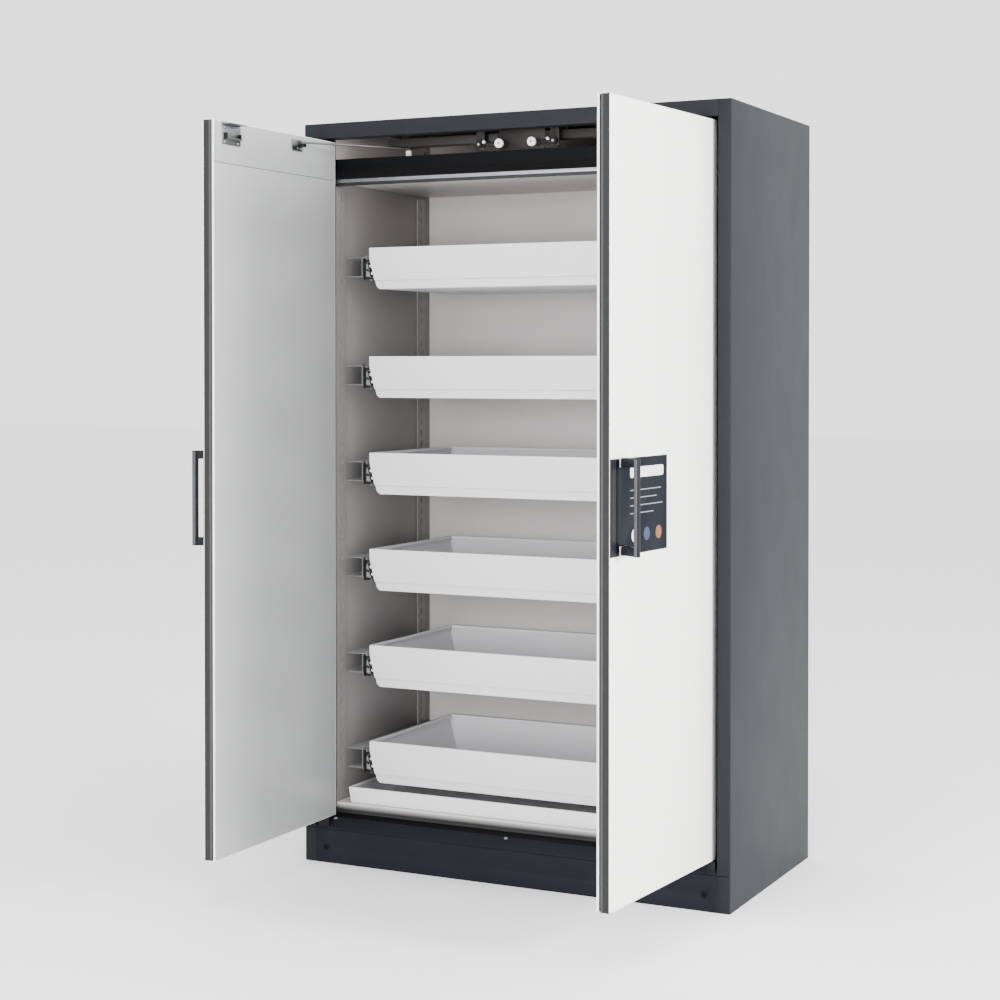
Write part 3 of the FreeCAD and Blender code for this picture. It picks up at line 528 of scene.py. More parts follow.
door = {
    "pivotAcross": 541.25, "pivotAlong": -298.75, "opened": {"left": 90, "right": 85.7},
    "hingeEdge": -19, "freeEdge": 540, "low": 123, "high": 1905, "face": -9, "sheet": 1.2,
    "linerStart": 16.5, "lining": 22, "corner": 4, "linerCorner": 2.5, "seam": (1803.4, 1804.6),
    # past the edge, start, end, wall
    "bead": (-2.2, 13.7, 16.3, 3.4), "lipping": (0.15, 16.8, 22.15, 1.3),
}
edgeStrip = {  # points are out from the free edge and back from the strip's start
    "start": -7.8, "end": 7.2, "depth": 2.5, "ribs": (0, 5.2, 10.4), "gap": 0.3, "short": 20,
    "rib": ((-0.6, 0), (0, 0.8), (0, 3.8), (-0.6, 4.6)),
}


def doorPiece(piece, side, name, part, finish=None, instead=False):
    # a piece is drawn on the closed door with the pivot at zero, then swung open with it
    sign = sideSign[side]
    swingTo(piece, sign * door["pivotAcross"], door["pivotAlong"],
            math.radians(sign * door["opened"][side]))
    node = part if part in cadNodes else f"door_{side}_{part}"
    finishPiece(piece, name + side.capitalize(), node, finish, instead)


def makeDoorLeaf(side):
    inward = -sideSign[side]
    low, high, hinge, free = (door[name] for name in ("low", "high", "hingeEdge", "freeEdge"))
    left, right = sorted((inward * hinge, inward * free))
    face, sheet, lining = door["face"], door["sheet"], door["lining"]

    def panel(bottom, top, corner, start, end):
        outline = roundedRectangle(hinge, free, bottom, top, corner)
        return drawOutline(mirrorPoints(inward, outline), "Y", start, end)

    def ring(past, start, end, wall):
        outline = boxOutline(left - past, right + past, low - past, high + past)
        return drawOutline(outline, "Y", start, end, wall)

    skin = panel(low, high, door["corner"], face, face + sheet)
    doorPiece(roundEdges(skin, 0.5), side, "doorSkin", "skin", instead=True)

    # black strip round the free edge, top and bottom, with three fine ribs
    start, gap, root = edgeStrip["start"], edgeStrip["gap"], free - edgeStrip["depth"]
    section = [(free + out, start + rib + back) for rib in edgeStrip["ribs"]
               for out, back in edgeStrip["rib"]] + [(root, edgeStrip["end"]), (root, start)]
    strips = [drawOutline(mirrorPoints(inward, section), "Z", low + gap, high - gap)]
    for level, sign in ((high, 1), (low, -1)):
        flat = [(y, level - sign * (free - x)) for x, y in section]
        ends = sorted((inward * edgeStrip["short"], inward * (free - gap)))
        strips.append(drawOutline(flat, "X", *ends))
    doorPiece(smoothFlats(join(strips), 25), side, "doorEdgeSeal", "edge_seal", instead=True)

    # soft bead lying in the groove behind the liner
    bead = roundEdges(ring(*door["bead"]), 1.1, 3)
    doorPiece(bead, side, "doorGrooveBead", "core", "seal_rubber")
    softCopy(f"door_{side}_core", 0.4)

    # white lipping round the edge of the liner
    lipping = roundEdges(ring(*door["lipping"]), 0.4, 3)
    doorPiece(lipping, side, "doorLinerLipping", "liner", "door_paint")

    # liner sheets with a folded rim, butted at the seam
    sheets, seam, start = [], door["seam"], door["linerStart"]
    depth = lining - start - sheet
    for bottom, top in ((low, seam[0]), (seam[1], high)):
        pan = panel(bottom, top, door["linerCorner"], start, lining)
        markFaces(pan, lambda center, normal: normal.y < -0.9)
        bpy.ops.mesh.inset(thickness=sheet * unit, depth=-depth * unit)
        leaveFaces()
        sheets.append(roundEdges(pan, 0.9, 3))
    doorPiece(join(sheets), side, "doorLiner", "liner", instead=True)


# handle and label plate

handle = {
    "low": {"left": 878, "right": 899}, "high": {"left": 1109, "right": 1113},
    "armHeight": 20, "standOff": 55, "inlayShort": 1.5,
    "edgePlate": ((0.6, 0), (0.6, 1.4), (1.6, 2.2), (26, 2.2), (27.4, 1.4), (27.4, 0)),
}
plate = {
    "low": 898, "high": 1112, "spans": (28.2, 45, 77, 282), "thick": 1.2, "print": 0.12,
    "printStart": 96, "header": (262, 0.79, 0.9), "disc": 15, "discLevel": 0.19,
    "lines": ((0.66, 250), (0.58, 228), (0.5, 258), (0.42, 212)), "lineHalf": 1.2,
    "discs": {"White": 118, "Blue": 178, "Amber": 238},
}


def handlePiece(side, points, bottom, top, soften, segments=2):
    # distance from the free edge and stand-off from the door, pulled upwards
    inward = -sideSign[side]
    plan = [(inward * (door["freeEdge"] - away), door["face"] - stand) for away, stand in points]
    return roundEdges(drawOutline(plan, "Z", bottom, top), soften, segments)


def makeHandle(side):
    out, height = handle["standOff"], handle["armHeight"]
    bottom, top = handle["low"][side], handle["high"][side]
    bar = ([(29, out - 2)] + arc((31.5, out - 3), 3, 150, 90, 3)
           + arc((38.5, out - 3), 3, 90, 20, 3)
           + [(42, out - 8), (39.5, out - 13), (32, out - 13), (28.4, out - 8)])
    arms = [(28.6, out - 4), (30, out - 1.6), (38, out - 1.2), (43.5, out - 5), (58, 30),
            (70, 19), (76, 12), (76, 0.2), (52, 0.2), (52, 10), (47, 20), (41, 29),
            (35, out - 15)]
    pieces = [handlePiece(side, bar, bottom, top, 0.8, 3)]
    pieces += [handlePiece(side, arms, low, low + height, 1.6, 3)
               for low in (bottom, top - height)]
    doorPiece(join(pieces), side, "handleGrip", "handle", instead=True)

    inlay = [(28.1, out - 10.4), (28.1, out - 3.4), (30, out - 2.8), (30, out - 10.4)]
    short = handle["inlayShort"]
    doorPiece(handlePiece(side, inlay, bottom + short, top - short, 0.3), side, "handleInlay",
              "handle", "handleGreyLight")
    doorPiece(handlePiece(side, handle["edgePlate"], plate["low"], plate["high"], 0.4), side,
              "handleEdgePlate", "handle")


def makeLabelPlate():
    inward = -sideSign["right"]
    edge, low, high = door["freeEdge"], plate["low"], plate["high"]
    height = high - low
    front, (start, near, far, end) = door["face"] - plate["thick"], plate["spans"]
    lower = handle["low"]["right"] + handle["armHeight"]
    upper = handle["high"]["right"] - handle["armHeight"]
    outline = [(end, low), (far, low), (far, lower), (near, lower), (near, low), (start, low),
               (start, high), (near, high), (near, upper), (far, upper), (far, high),
               (end, high)]
    outline = [(inward * (edge - away), level) for away, level in outline]
    board = drawOutline(outline, "Y", front, door["face"])
    doorPiece(roundEdges(board, 0.4), "right", "labelPlate", "label_plate", instead=True)

    # plain bars and discs, a print without words
    def bar(right, bottom, top, radius):
        outline = roundedRectangle(edge - right, edge - plate["printStart"], bottom, top, radius)
        return drawOutline(mirrorPoints(inward, outline), "Y", front - plate["print"], front)

    right, bottom, top = plate["header"]
    doorPiece(bar(right, low + height * bottom, low + height * top, 6), "right", "plateHeader",
              "label_plate", "printWhite")
    half = plate["lineHalf"]
    lines = [bar(right, low + height * level - half, low + height * level + half, 1)
             for level, right in plate["lines"]]
    doorPiece(join(lines), "right", "plateLines", "label_plate", "printGrey")
    for name, away in plate["discs"].items():
        center = (inward * (edge - away), front - plate["print"], low + height * plate["discLevel"])
        disc = turnRings([(plate["disc"], 0), (plate["disc"], plate["print"])], center, "Y", 40)
        doorPiece(disc, "right", "plateDisc" + name, "label_plate", "print" + name)


# door fittings

fitting = {  # each board is left, right, bottom, top, and near and far from the liner
    "keeper": ((428, 508, 1849, 1904, 0, 2), (430, 506, 1897.8, 1900, 2, 22),
               (146, 198, 1864, 1893, 0, 3)),
    "hooks": ((436, 440, 1862, 1877, 2, 11), (496, 500, 1862, 1877, 2, 11),
              (152, 168, 1875, 1883, 3, 18)),
    "foot": (180, 196, 1866, 1876, 3, 9), "ramp": (440, 496, 1862, 1866, 2, 11),
    "pin": (160, 34, 1883), "pinRings": [(3, 0), (3, 6.4), (2.6, 7)],
    "screws": ((440, 2, 1890, 4), (496, 2, 1890, 4), (440, 2, 1855, 4), (496, 2, 1855, 4),
               (153, 3, 1871, 3.2), (172, 3, 1871, 3.2)),  # across, start, level, radius
}


def makeFittings(side):
    inward, face = -sideSign[side], door["lining"]

    def board(left, right, bottom, top, near, far, soften=0.6):
        outline = boxOutline(*sorted((inward * left, inward * right)), bottom, top)
        return roundEdges(drawOutline(outline, "Y", face + near, face + far), soften)

    across, along, level = fitting["pin"]
    metal = [turnRings(fitting["pinRings"], (inward * across, along, level), "Z", 20)]
    metal += [screwHead((inward * across, face + start, level), "Y", radius)
              for across, start, level, radius in fitting["screws"]]
    keeper = join([board(*spans) for spans in fitting["keeper"]])
    doorPiece(keeper, side, "doorKeeper", "fittings", "zinc_steel")
    hooks = join([*(board(*spans) for spans in fitting["hooks"]), board(*fitting["foot"], 1.2)])
    doorPiece(hooks, side, "doorFittings", "fittings", instead=True)
    doorPiece(join(metal), side, "doorFittingScrews", "fittings", "zinc_steel")
    doorPiece(board(*fitting["ramp"]), side, "keeperRamp", "fittings", "arm_steel")


# drawers and their slides

drawer = {
    "half": 445, "straight": 25, "tilt": 14.4, "cornerDrop": 102, "height": 110, "chamfer": 9,
    "apron": 87, "lipSetBack": 4.5, "rim": 8, "hem": 7, "sheet": 1.2, "bend": 2.2, "count": 6,
}
slide = {
    "drop": 57, "frontGap": 3, "half": 23, "depth": 12.6, "sheet": 1.3, "capReach": 3.2,
    "post": 464.5, "spine": 457, "railHalf": 17.8, "rail": (0.05, 6), "rivets": (-150, 10, 170),
    "rivetOut": 0.9, "rivet": ((4.4, 0), (4.2, 1.1), (2.8, 1.7)),
    "middle": (3, 7, 8.4, 10.6), "lip": 2, "fold": 3.4,
    "rollerOut": 5.3, "rollerLifts": (-10, 10), "rollerSetBack": 1.6,
    "roller": [(2.2, 0), (3.1, 0.9), (3.1, 4), (2.2, 4.9)],
}


def foldTray(outline, front, back, apron=None):
    # sheet opened at the top inside a rim with a turned-down hem; the apron's level and reach
    tray = drawOutline(outline, "Y", front, back)
    if apron:
        level, reach = apron[0] * unit, apron[1] * unit
        editAll(tray)
        bpy.ops.mesh.bisect(plane_co=(0, 0, level), plane_no=(0, 0, 1))
        objectMode()
        markFaces(tray, lambda center, normal: normal.y < -0.9 and center.z > level)
        bpy.ops.mesh.extrude_region_move(TRANSFORM_OT_translate={"value": (0, -reach, 0)})
        objectMode()
    markFaces(tray, lambda center, normal: normal.z > 0.9)
    bpy.ops.mesh.inset(thickness=drawer["rim"] * unit, depth=0)
    bpy.ops.mesh.delete(type="FACE")
    bpy.ops.mesh.select_mode(type="EDGE")
    bpy.ops.mesh.select_non_manifold(
        extend=False, use_wire=False, use_boundary=True, use_multi_face=False,
        use_non_contiguous=False, use_verts=False)
    turnDown = (0, 0, -drawer["hem"] * unit)
    bpy.ops.mesh.extrude_edges_move(TRANSFORM_OT_translate={"value": turnDown})
    leaveFaces()
    roundEdges(tray, drawer["bend"], 3)
    modify(tray, "SOLIDIFY", thickness=drawer["sheet"] * unit, offset=-1)
    return smoothFlats(tray)


def sideAt(drop):
    # half width of the drawer at that drop below its rim
    return drawer["half"] - (drop - drawer["straight"]) * math.tan(math.radians(drawer["tilt"]))


def trayOutline(top):
    lower = sideAt(drawer["cornerDrop"])
    right = [(drawer["half"], top), (drawer["half"], top - drawer["straight"]),
             (lower, top - drawer["cornerDrop"]),
             (lower - drawer["chamfer"], top - drawer["height"])]
    return right + mirrorPoints(-1, right[::-1])


def onSlope(sign, top, points):
    # points out from and up along the drawer's slanting side, to X and Z
    tilt = math.radians(drawer["tilt"])
    return [(sign * (sideAt(slide["drop"]) + out * math.cos(tilt) + up * math.sin(tilt)),
             top - slide["drop"] - out * math.sin(tilt) + up * math.cos(tilt))
            for out, up in points]


def evenSection(points):
    # the upper half of a section and its mirror below
    return points + [(out, -up) for out, up in reversed(points)]


def comb(back, tips, half):
    # end cap section with two windows, its spine at back
    spine = back + math.copysign(1.7, tips - back)
    upper = [(tips, 5), (spine, 5), (spine, 15), (tips, 15), (tips, half), (back, half)]
    return evenSection(upper)


def railCapOutline(sign, top):
    # black end plate beside the rails: a post with three arms that leave two windows
    reach, half = slide["depth"] + 0.4, slide["half"] + 0.3
    arms = onSlope(sign, top, evenSection([(1.6, half + 2.7), (1.6, half), (reach, half),
                                           (reach, 18), (reach, 3.2)]))
    edge, post, spine = (sign * (slide["post"] - 2), sign * slide["post"], sign * slide["spine"])
    return [(edge, top - 31), *arms[:4], (spine, top - 39.5), (spine, top - 55), *arms[4:6],
            (spine, top - 61), (spine, top - 76), *arms[6:], (edge, top - 84), (post, top - 82),
            (post, top - 33)]


def makeDrawers():
    low, high = nodeBox("drawer_1")
    top, front, back = high[2], low[1], high[1]
    lip = front + drawer["lipSetBack"]
    near = lip + slide["frontGap"]
    capFront = near - slide["capReach"]
    half, sheet, fold = slide["half"], slide["sheet"], slide["half"] - slide["fold"]
    rails, railCaps, middles, middleCaps, rollers, fixedCaps, endTabs = ([] for _ in range(7))

    (web, flange), rise = slide["rail"], slide["railHalf"]
    railSection = [(web + sheet, rise - sheet), (flange, rise - sheet), (flange, rise)]
    railSection = evenSection([*railSection, (web, rise)])
    (inner, webIn, webOut, outer), rise = slide["middle"], half - slide["lip"]
    middleSection = [(webOut, fold), (outer, fold), (outer, rise), (inner, rise)]
    middleSection = evenSection([*middleSection, (inner, fold), (webIn, fold)])

    def onSide(points, start, end, soften):
        return roundEdges(drawOutline(onSlope(sign, top, points), "Y", start, end), soften)

    for sign in (-1, 1):
        rails.append(onSide(railSection, near, back, 0.45))
        across, level = onSlope(sign, top, [(slide["rivetOut"], 0)])[0]
        rivet = [(radius, sign * out) for radius, out in slide["rivet"]]
        rails += [turnRings(rivet, (across, along, level), "X", 14)
                  for along in slide["rivets"]]
        railCaps.append(onSide(comb(0.2, 5.9, 17.4), capFront, near + 1, 0.35))
        middles.append(onSide(middleSection, near, back, 0.4))
        middleCaps.append(onSide(comb(10.5, 6.4, half - 2.1), capFront, near + 1, 0.35))
        for lift in slide["rollerLifts"]:
            across, level = onSlope(sign, top, [(slide["rollerOut"], lift)])[0]
            center = (across, near - slide["rollerSetBack"], level)
            rollers.append(turnRings(slide["roller"], center, "Y", 16))
        cap = drawOutline(railCapOutline(sign, top), "Y", capFront - 0.4, near - 0.1)
        fixedCaps.append(roundEdges(cap, 0.5))
        reach, post = slide["depth"] + 0.8, sign * (slide["post"] - 1.5)
        tab = onSlope(sign, top, [(reach, half), (reach, -half)])
        tab += [(post, top - 80), (post, top - 34)]
        endTabs.append(drawOutline(tab, "Y", near - 0.9, near - 0.15))
    tray = foldTray(trayOutline(top), lip, back, (top - drawer["apron"], drawer["lipSetBack"]))
    parts = {  # shape, node, finish, whether it takes the node's place
        "drawerTray": (tray, "drawer", "shelf_paint", True),
        "drawerRails": (join(rails), "drawer", "slide_steel", False),
        "drawerRailCaps": (join(railCaps), "drawer", "black_fittings", False),
        "middleSlides": (join(middles), "middle_slides", "slide_steel", True),
        "middleSlideCaps": (join(middleCaps), "middle_slides", "black_fittings", False),
        "slideRollers": (join(rollers), "middle_slides", "roller_plastic", False),
    }
    caps, tabs = [join(fixedCaps)], [join(endTabs)]
    for number in range(drawer["count"], 0, -1):
        offset = (0, 0, nodeBox(f"drawer_{number}")[1][2] - top)
        for name, (piece, node, finish, stands) in parts.items():
            own = copyTo(piece, offset) if number > 1 else piece
            finishPiece(own, f"{name}{number}", f"{node}_{number}", finish, stands)
        if number > 1:
            caps.append(copyTo(caps[0], offset))
            tabs.append(copyTo(tabs[0], offset))
    finishPiece(join(caps), "fixedRailCaps", "fixed_rails", "black_fittings")
    # end tabs and brackets take the grey darkened as painted shade
    finishPiece(join(tabs), "railEndTabs", "rail_brackets", "bracketGrey")
    softCopy("fixed_rails", 0.35)
    softCopy("rail_brackets", 0.4, finish="bracketGrey")


# sump, threshold and the front of the opening

opening = {  # outlines of the sill and the lip are back from the plane, and up
    "half": 525, "outer": 552, "plane": -266, "low": 126, "floor": 153, "top": 1808,
    "noseRadius": 13, "noseSetBack": 2.5, "beads": (6, 17), "beadWidth": 4,
    "sill": ((-11, 114.6), (-11, 117), (-9.5, 119.5), (-5, 124.5), (-2.4, 126.4), (0.4, 126.4),
             (0.4, 122)), "sillPast": 9,
    "lip": ((-2.2, 1790.5), (1.5, 1790.5), (4, 1798.4), (-2.2, 1798.4)), "lipShort": 1,
    "catches": (-518, -14, 518), "catchPlace": (-281.5, 113.2),
    "catch": [(5, -1.5), (5, 1.2), (4.2, 2.2), (2, 2.4)], "sumpSlant": 8,
}


def makeSump():
    low, high = nodeBox("sump_tray")
    slant = opening["sumpSlant"]
    outline = [(low[0], high[2]), (high[0], high[2]), (high[0] - slant, low[2]),
               (low[0] + slant, low[2])]
    finishPiece(foldTray(outline, low[1], high[1]), "sumpTray", "sump_tray", instead=True)


def uOutline(inset, width):
    # three-sided band round the opening, open at the bottom
    near, topNear, bottom = opening["half"] + inset, opening["top"] + inset, opening["low"]
    far, topFar = near + width, topNear + width
    return [(-far, bottom), (-near, bottom), (-near, topNear), (near, topNear), (near, bottom),
            (far, bottom), (far, topFar), (-far, topFar)]


def makeOpening():
    plane, half, outer = opening["plane"], opening["half"], opening["outer"]
    band = drawOutline(uOutline(0, outer - half), "Y", plane - 2, plane)
    pieces = [roundEdges(band, 0.5)]
    for inset in opening["beads"]:
        bead = drawOutline(uOutline(inset, opening["beadWidth"]), "Y", plane - 3.4, plane - 1.5)
        pieces.append(roundEdges(bead, 0.9, 3))
    finishPiece(join(pieces), "frameSeal", "frame_seal", "frameRubber", True)

    # rounded threshold nose; its laminate paints shade on the lower half
    radius = opening["noseRadius"]
    middle = (plane - opening["noseSetBack"] + radius, opening["floor"] - radius)
    threshold = drawOutline(arc(middle, radius, 90, 270, 14), "X", -half, half)
    finishPiece(smoothFlats(threshold, 25), "threshold", "lining_floor", "thresholdLaminate")

    # the sill's black seal, and a black rubber lip under the ceiling trim whose black also paints
    # the shade line beneath the trim
    for name, part, reach, soften, finish in (
            ("sillSeal", "sill", outer + opening["sillPast"], 0.8, "frameRubber"),
            ("ceilingShadeLip", "lip", half - opening["lipShort"], 0.6, None)):
        outline = [(plane + back, level) for back, level in opening[part]]
        seal = drawOutline(outline, "X", -reach, reach)
        finishPiece(roundEdges(seal, soften), name, "frame_seal", finish)
    softCopy("ceiling_trim", 0.5, 3)
    softCopy("ceiling_fascia", 0.3)
    catches = [turnRings(opening["catch"], (across, *opening["catchPlace"]), "Z", 20)
               for across in opening["catches"]]
    # the catches share the grey darkened as painted shade
    finishPiece(join(catches), "sillCatches", "plinth_panel", "bracketGrey")


# mounting strips on the side walls

strip = {
    "spans": ((-261.5, -221.5), (180, 220)), "thick": 3, "slotHigh": 18, "slotWide": 6,
    "slotCorner": 2.5, "pitch": 32, "margin": 20,
}


def makeUprights():
    low, high = nodeBox("mounting_uprights")
    face = high[0]
    inner = face - strip["thick"]
    bottom, top, first = low[2], high[2], low[2] + strip["margin"]
    wide = strip["slotWide"] / 2
    bars = []
    for start, end in strip["spans"]:
        bar = drawOutline(boxOutline(start, end, bottom, top), "X", inner, face)
        middle = (start + end) / 2
        slot = (middle - wide, middle + wide, first, first + strip["slotHigh"])
        cutter = drawOutline(roundedRectangle(*slot, strip["slotCorner"], 2), "X", inner - 1,
                             face + 1)
        modify(cutter, "ARRAY", count=int((top - first) / strip["pitch"]),
               use_relative_offset=False, use_constant_offset=True,
               constant_offset_displace=(0, 0, strip["pitch"] * unit))
        modify(bar, "BOOLEAN", operation="DIFFERENCE", object=cutter, solver="EXACT")
        bpy.data.objects.remove(cutter)
        other = copyTo(roundEdges(bar, 0.3, 1))
        other.data.transform(Matrix.Scale(-1, 4, (1, 0, 0)))
        bars += [bar, faceOutward(other)]
    finishPiece(join(bars), "mountingUprights", "mounting_uprights", "sideLaminate", True)


# closing mechanism over the opening; rings are (radius, height)

arm = {
    "length": 308, "along": 160, "out": 34, "half": 6.5, "bow": 9, "low": 1884, "high": 1888,
    "trackSetBack": 98.75, "bridge": 65.6, "steps": 18,
    "stem": [(3, 1862), (3, 1884)], "stemTop": [(3, 1888), (3, 1907), (2.4, 1907.6)],
    "washer": [(5.5, 1888), (5.5, 1889), (4.8, 1889.3)],
    "guide": [(5.2, 1894), (6, 1894.8), (6, 1906.2), (5.2, 1907)],
    "catch": [(7, 1865), (8, 1866), (8, 1872.4), (7.2, 1873.6), (8, 1874.8), (8, 1881),
              (7, 1882)],
}


def hangOnArm(piece, side):
    # pin in plan and the arm's swing, from the door's open angle
    sign = sideSign[side]
    angle = math.radians(door["opened"][side])
    inward = arm["along"] * math.cos(angle) + arm["out"] * math.sin(angle)
    behind = arm["out"] * math.cos(angle) - arm["along"] * math.sin(angle)
    swing = math.asin((arm["trackSetBack"] - behind) / arm["length"])
    return swingTo(piece, sign * (door["pivotAcross"] - inward), door["pivotAlong"] + behind,
                   -sign * swing)


def makeArm(side):
    reach, half, steps = arm["length"], arm["half"], arm["steps"]
    turn = -sideSign[side]
    middle = [(reach * step / steps, -arm["bow"] * math.sin(math.pi * step / steps))
              for step in range(steps + 1)]
    outline = ([(x, y - half) for x, y in middle] + arc((reach, 0), half, -75, 75)
               + [(x, y + half) for x, y in reversed(middle)] + arc((0, 0), half, 105, 255))
    bar = roundEdges(drawOutline(mirrorPoints(turn, outline), "Z", arm["low"], arm["high"]), 0.7)
    end, name = (turn * reach, 0, 0), side.capitalize()
    stems = [turnRings(arm["stem"], end, "Z", 18), turnRings(arm["stemTop"], end, "Z", 18),
             turnRings(arm["washer"], (0, 0, 0), "Z", 24)]
    finishPiece(hangOnArm(join([bar, *stems]), side), "closerArm" + name, f"closer_arm_{side}",
                instead=True)
    rollers = join([smoothFlats(turnRings(arm["guide"], end, "Z", 24)),
                    smoothFlats(turnRings(arm["catch"], end, "Z", 28))])
    finishPiece(hangOnArm(rollers, side), "closerRollers" + name, f"closer_rollers_{side}",
                instead=True)


latch = {
    "level": 1882, "pivot": 105, "roller": 46, "radius": 11.5, "back": -249, "front": -253,
    "rollerFront": -261, "buffer": (15, 5.5),
    "nearPivot": ((9, -5), (9, 5), (3, 9), (-8, 9.5), (-22, 4)),
    "nearRoller": ((9, 4.5), (-4, 4.5), (-4, -5), (8, -6)),
    "underPivot": ((-20, -4.5), (-6, -8.5), (3, -8.5)),
    "boss": [(9.5, 0), (9.5, 3.4), (8.4, 4.6), (4.4, 4.6)],
    "bufferRings": [(3.4, 0), (3.8, 0.8), (3.8, 9)],
    "axle": [(3.6, 0), (4, 0.6), (4, 2.4)], "pin": [(3.2, 0), (3.8, 0.7), (3.8, 2)],
}


def makeLatch(side):
    sign, level, front = sideSign[side], latch["level"], latch["front"]
    pivot, roller, radius = latch["pivot"], latch["roller"], latch["radius"]
    node, name = f"latch_lever_{side}", side.capitalize()

    def turned(rings, across, along, sides, lift=0):
        return smoothFlats(turnRings(rings, (sign * across, along, level + lift), "Y", sides))

    parts = ((pivot, "nearPivot"), (roller, "nearRoller"), (pivot, "underPivot"))
    outline = [(sign * (start + across), level + up) for start, part in parts
               for across, up in latch[part]]
    lever = roundEdges(drawOutline(outline, "Y", front, latch["back"]), 0.7)
    boss = turned(latch["boss"], pivot, front - 4.6, 28)
    finishPiece(join([lever, boss]), "latchLever" + name, node, "black_fittings", True)
    disc = turned([(radius - 1, 0), (radius, 1), (radius, 6.8), (radius - 1, 7.8), (4.6, 7.8)],
                  roller, latch["rollerFront"] + 0.1, 36)
    setBack, lift = latch["buffer"]
    buffer = turned(latch["bufferRings"], pivot - setBack, front - lift, 18, lift)
    finishPiece(join([disc, buffer]), "latchRoller" + name, node, "roller_plastic")
    axle = turned(latch["axle"], roller, latch["rollerFront"] - 0.9, 20)
    pin = turned(latch["pin"], pivot, front - 5.8, 20)
    finishPiece(join([axle, pin]), "latchAxle" + name, node, "zinc_steel")


def makeMechanism():
    for side in sideSign:
        makeArm(side)
        makeLatch(side)
    softCopy("latch_brackets", finish="trackBrown")
    softCopy("arm_tracks", finish="trackBrown")
    low, high = nodeBox("arm_tracks")
    outline = boxOutline(low[1] + 0.2, low[1] + 1.7, low[2], high[2] - 1)
    bridge = drawOutline(outline, "X", -arm["bridge"], arm["bridge"])
    finishPiece(roundEdges(bridge, 0.4), "trackBridge", "arm_tracks", "trackBrown")


# casing, base and roof fittings

casing = {
    "half": 596.5, "front": -307.5, "back": 307.5, "height": 1953,
    "soft": {0.3: "lining_back lining_ceiling", 0.4: "back_panel roof_panel compartment_lining",
             0.5: "side_panel_left side_panel_right header_rail",
             0.6: "base_frame insulation_boards", 0.8: "hinge_blocks"},
    "painted": {"hinge_pins": (0.4, "black_steel"), "plinth_panel": (0.5, "plinthPaint"),
                # the floor lining takes the threshold laminate with its painted shade
                "lining_floor": (0.3, "thresholdLaminate"),
                "lining_sides": (0.3, "sideLaminate")},
    "joint": ((-0.3, 88.6), (-0.3, 90.4), (0.4, 90.8), (0.4, 88.2)), "jointShort": 3,
}
plug = {
    "across": 531, "level": 41, "hole": [(7.3, -0.9), (7.3, 3.4)],
    "rim": [(10.4, 0), (10.4, -0.9), (9.6, -1.5), (7.4, -1.5), (7, 3.5), (7.9, 3.5), (7.9, 0)],
}
screws = {  # each group is its places across, then its levels or rows
    "radius": 4.2, "height": 1.6,
    "back": (((-558, 558), range(60, 1941, 235)), ((-372, -186, 0, 186, 372), (60, 1940))),
    "roof": ((-580, -290, 0, 290, 580), (-235, 292)),
}


def makeCasing():
    for width, nodes in casing["soft"].items():
        for node in nodes.split():
            softCopy(node, width)
    for node, (width, finish) in casing["painted"].items():
        softCopy(node, width, finish=finish)
    front, back, reach = casing["front"], casing["back"], casing["half"] - casing["jointShort"]
    # painted shadow: a black strip along the joint of sill and plinth front stands in for the shade
    # in the crease
    outline = [(front + out, level) for out, level in casing["joint"]]
    joint = drawOutline(outline, "X", -reach, reach)
    finishPiece(joint, "plinthJointShadow", "plinth_panel", "frameRubber")

    # plugs in the two access openings of the plinth, each with a black disc as painted shade inside
    sides = (-plug["across"], plug["across"])
    rims = [turnRings(plug["rim"], (across, front - 0.05, plug["level"]), "Y", closed=True)
            for across in sides]
    # painted shade: a black disc sits in each opening behind the plug rim
    holes = [turnRings(plug["hole"], (across, front, plug["level"]), "Y", 28)
             for across in sides]
    finishPiece(smoothFlats(join(rims)), "plinthPlugs", "plinth_panel", "plinthPaint")
    finishPiece(join(holes), "plinthHoleShadows", "plinth_panel", "frameRubber")

    # countersunk screws round the back and along the roof
    spots = [((across, back, level), "Y") for group, levels in screws["back"]
             for across in group for level in levels]
    group, rows = screws["roof"]
    spots += [((across, along, casing["height"]), "Z") for across in group for along in rows]
    heads = [screwHead(spot, axis, screws["radius"], screws["height"]) for spot, axis in spots]
    finishPiece(join(heads), "casingScrews", "back_panel", "zinc_steel")


duct = {
    "along": 200, "across": {"exhaust": 150, "supply": 400}, "radius": 37.5, "lowRadius": 37,
    "step": 1955, "wall": 1.2, "low": 1800, "high": 2003, "collar": 51.5, "screwInset": 6,
    "bead": ((0, 1983), (1.6, 1985), (1.6, 1988), (0, 1990)), "pinReach": 37.3,
    "gasket": ((0.1, 1962), (1.8, 1962.4), (3, 1965), (1.8, 1967.6), (0.1, 1968)),
    "plate": [(32, -1), (33.6, -0.6), (33.6, 0.6), (32, 1)],
    "rim": [(33, -0.9), (35.2, -1.4), (35.8, -0.6), (35.8, 0.6), (35.2, 1.4), (33, 0.9)],
}


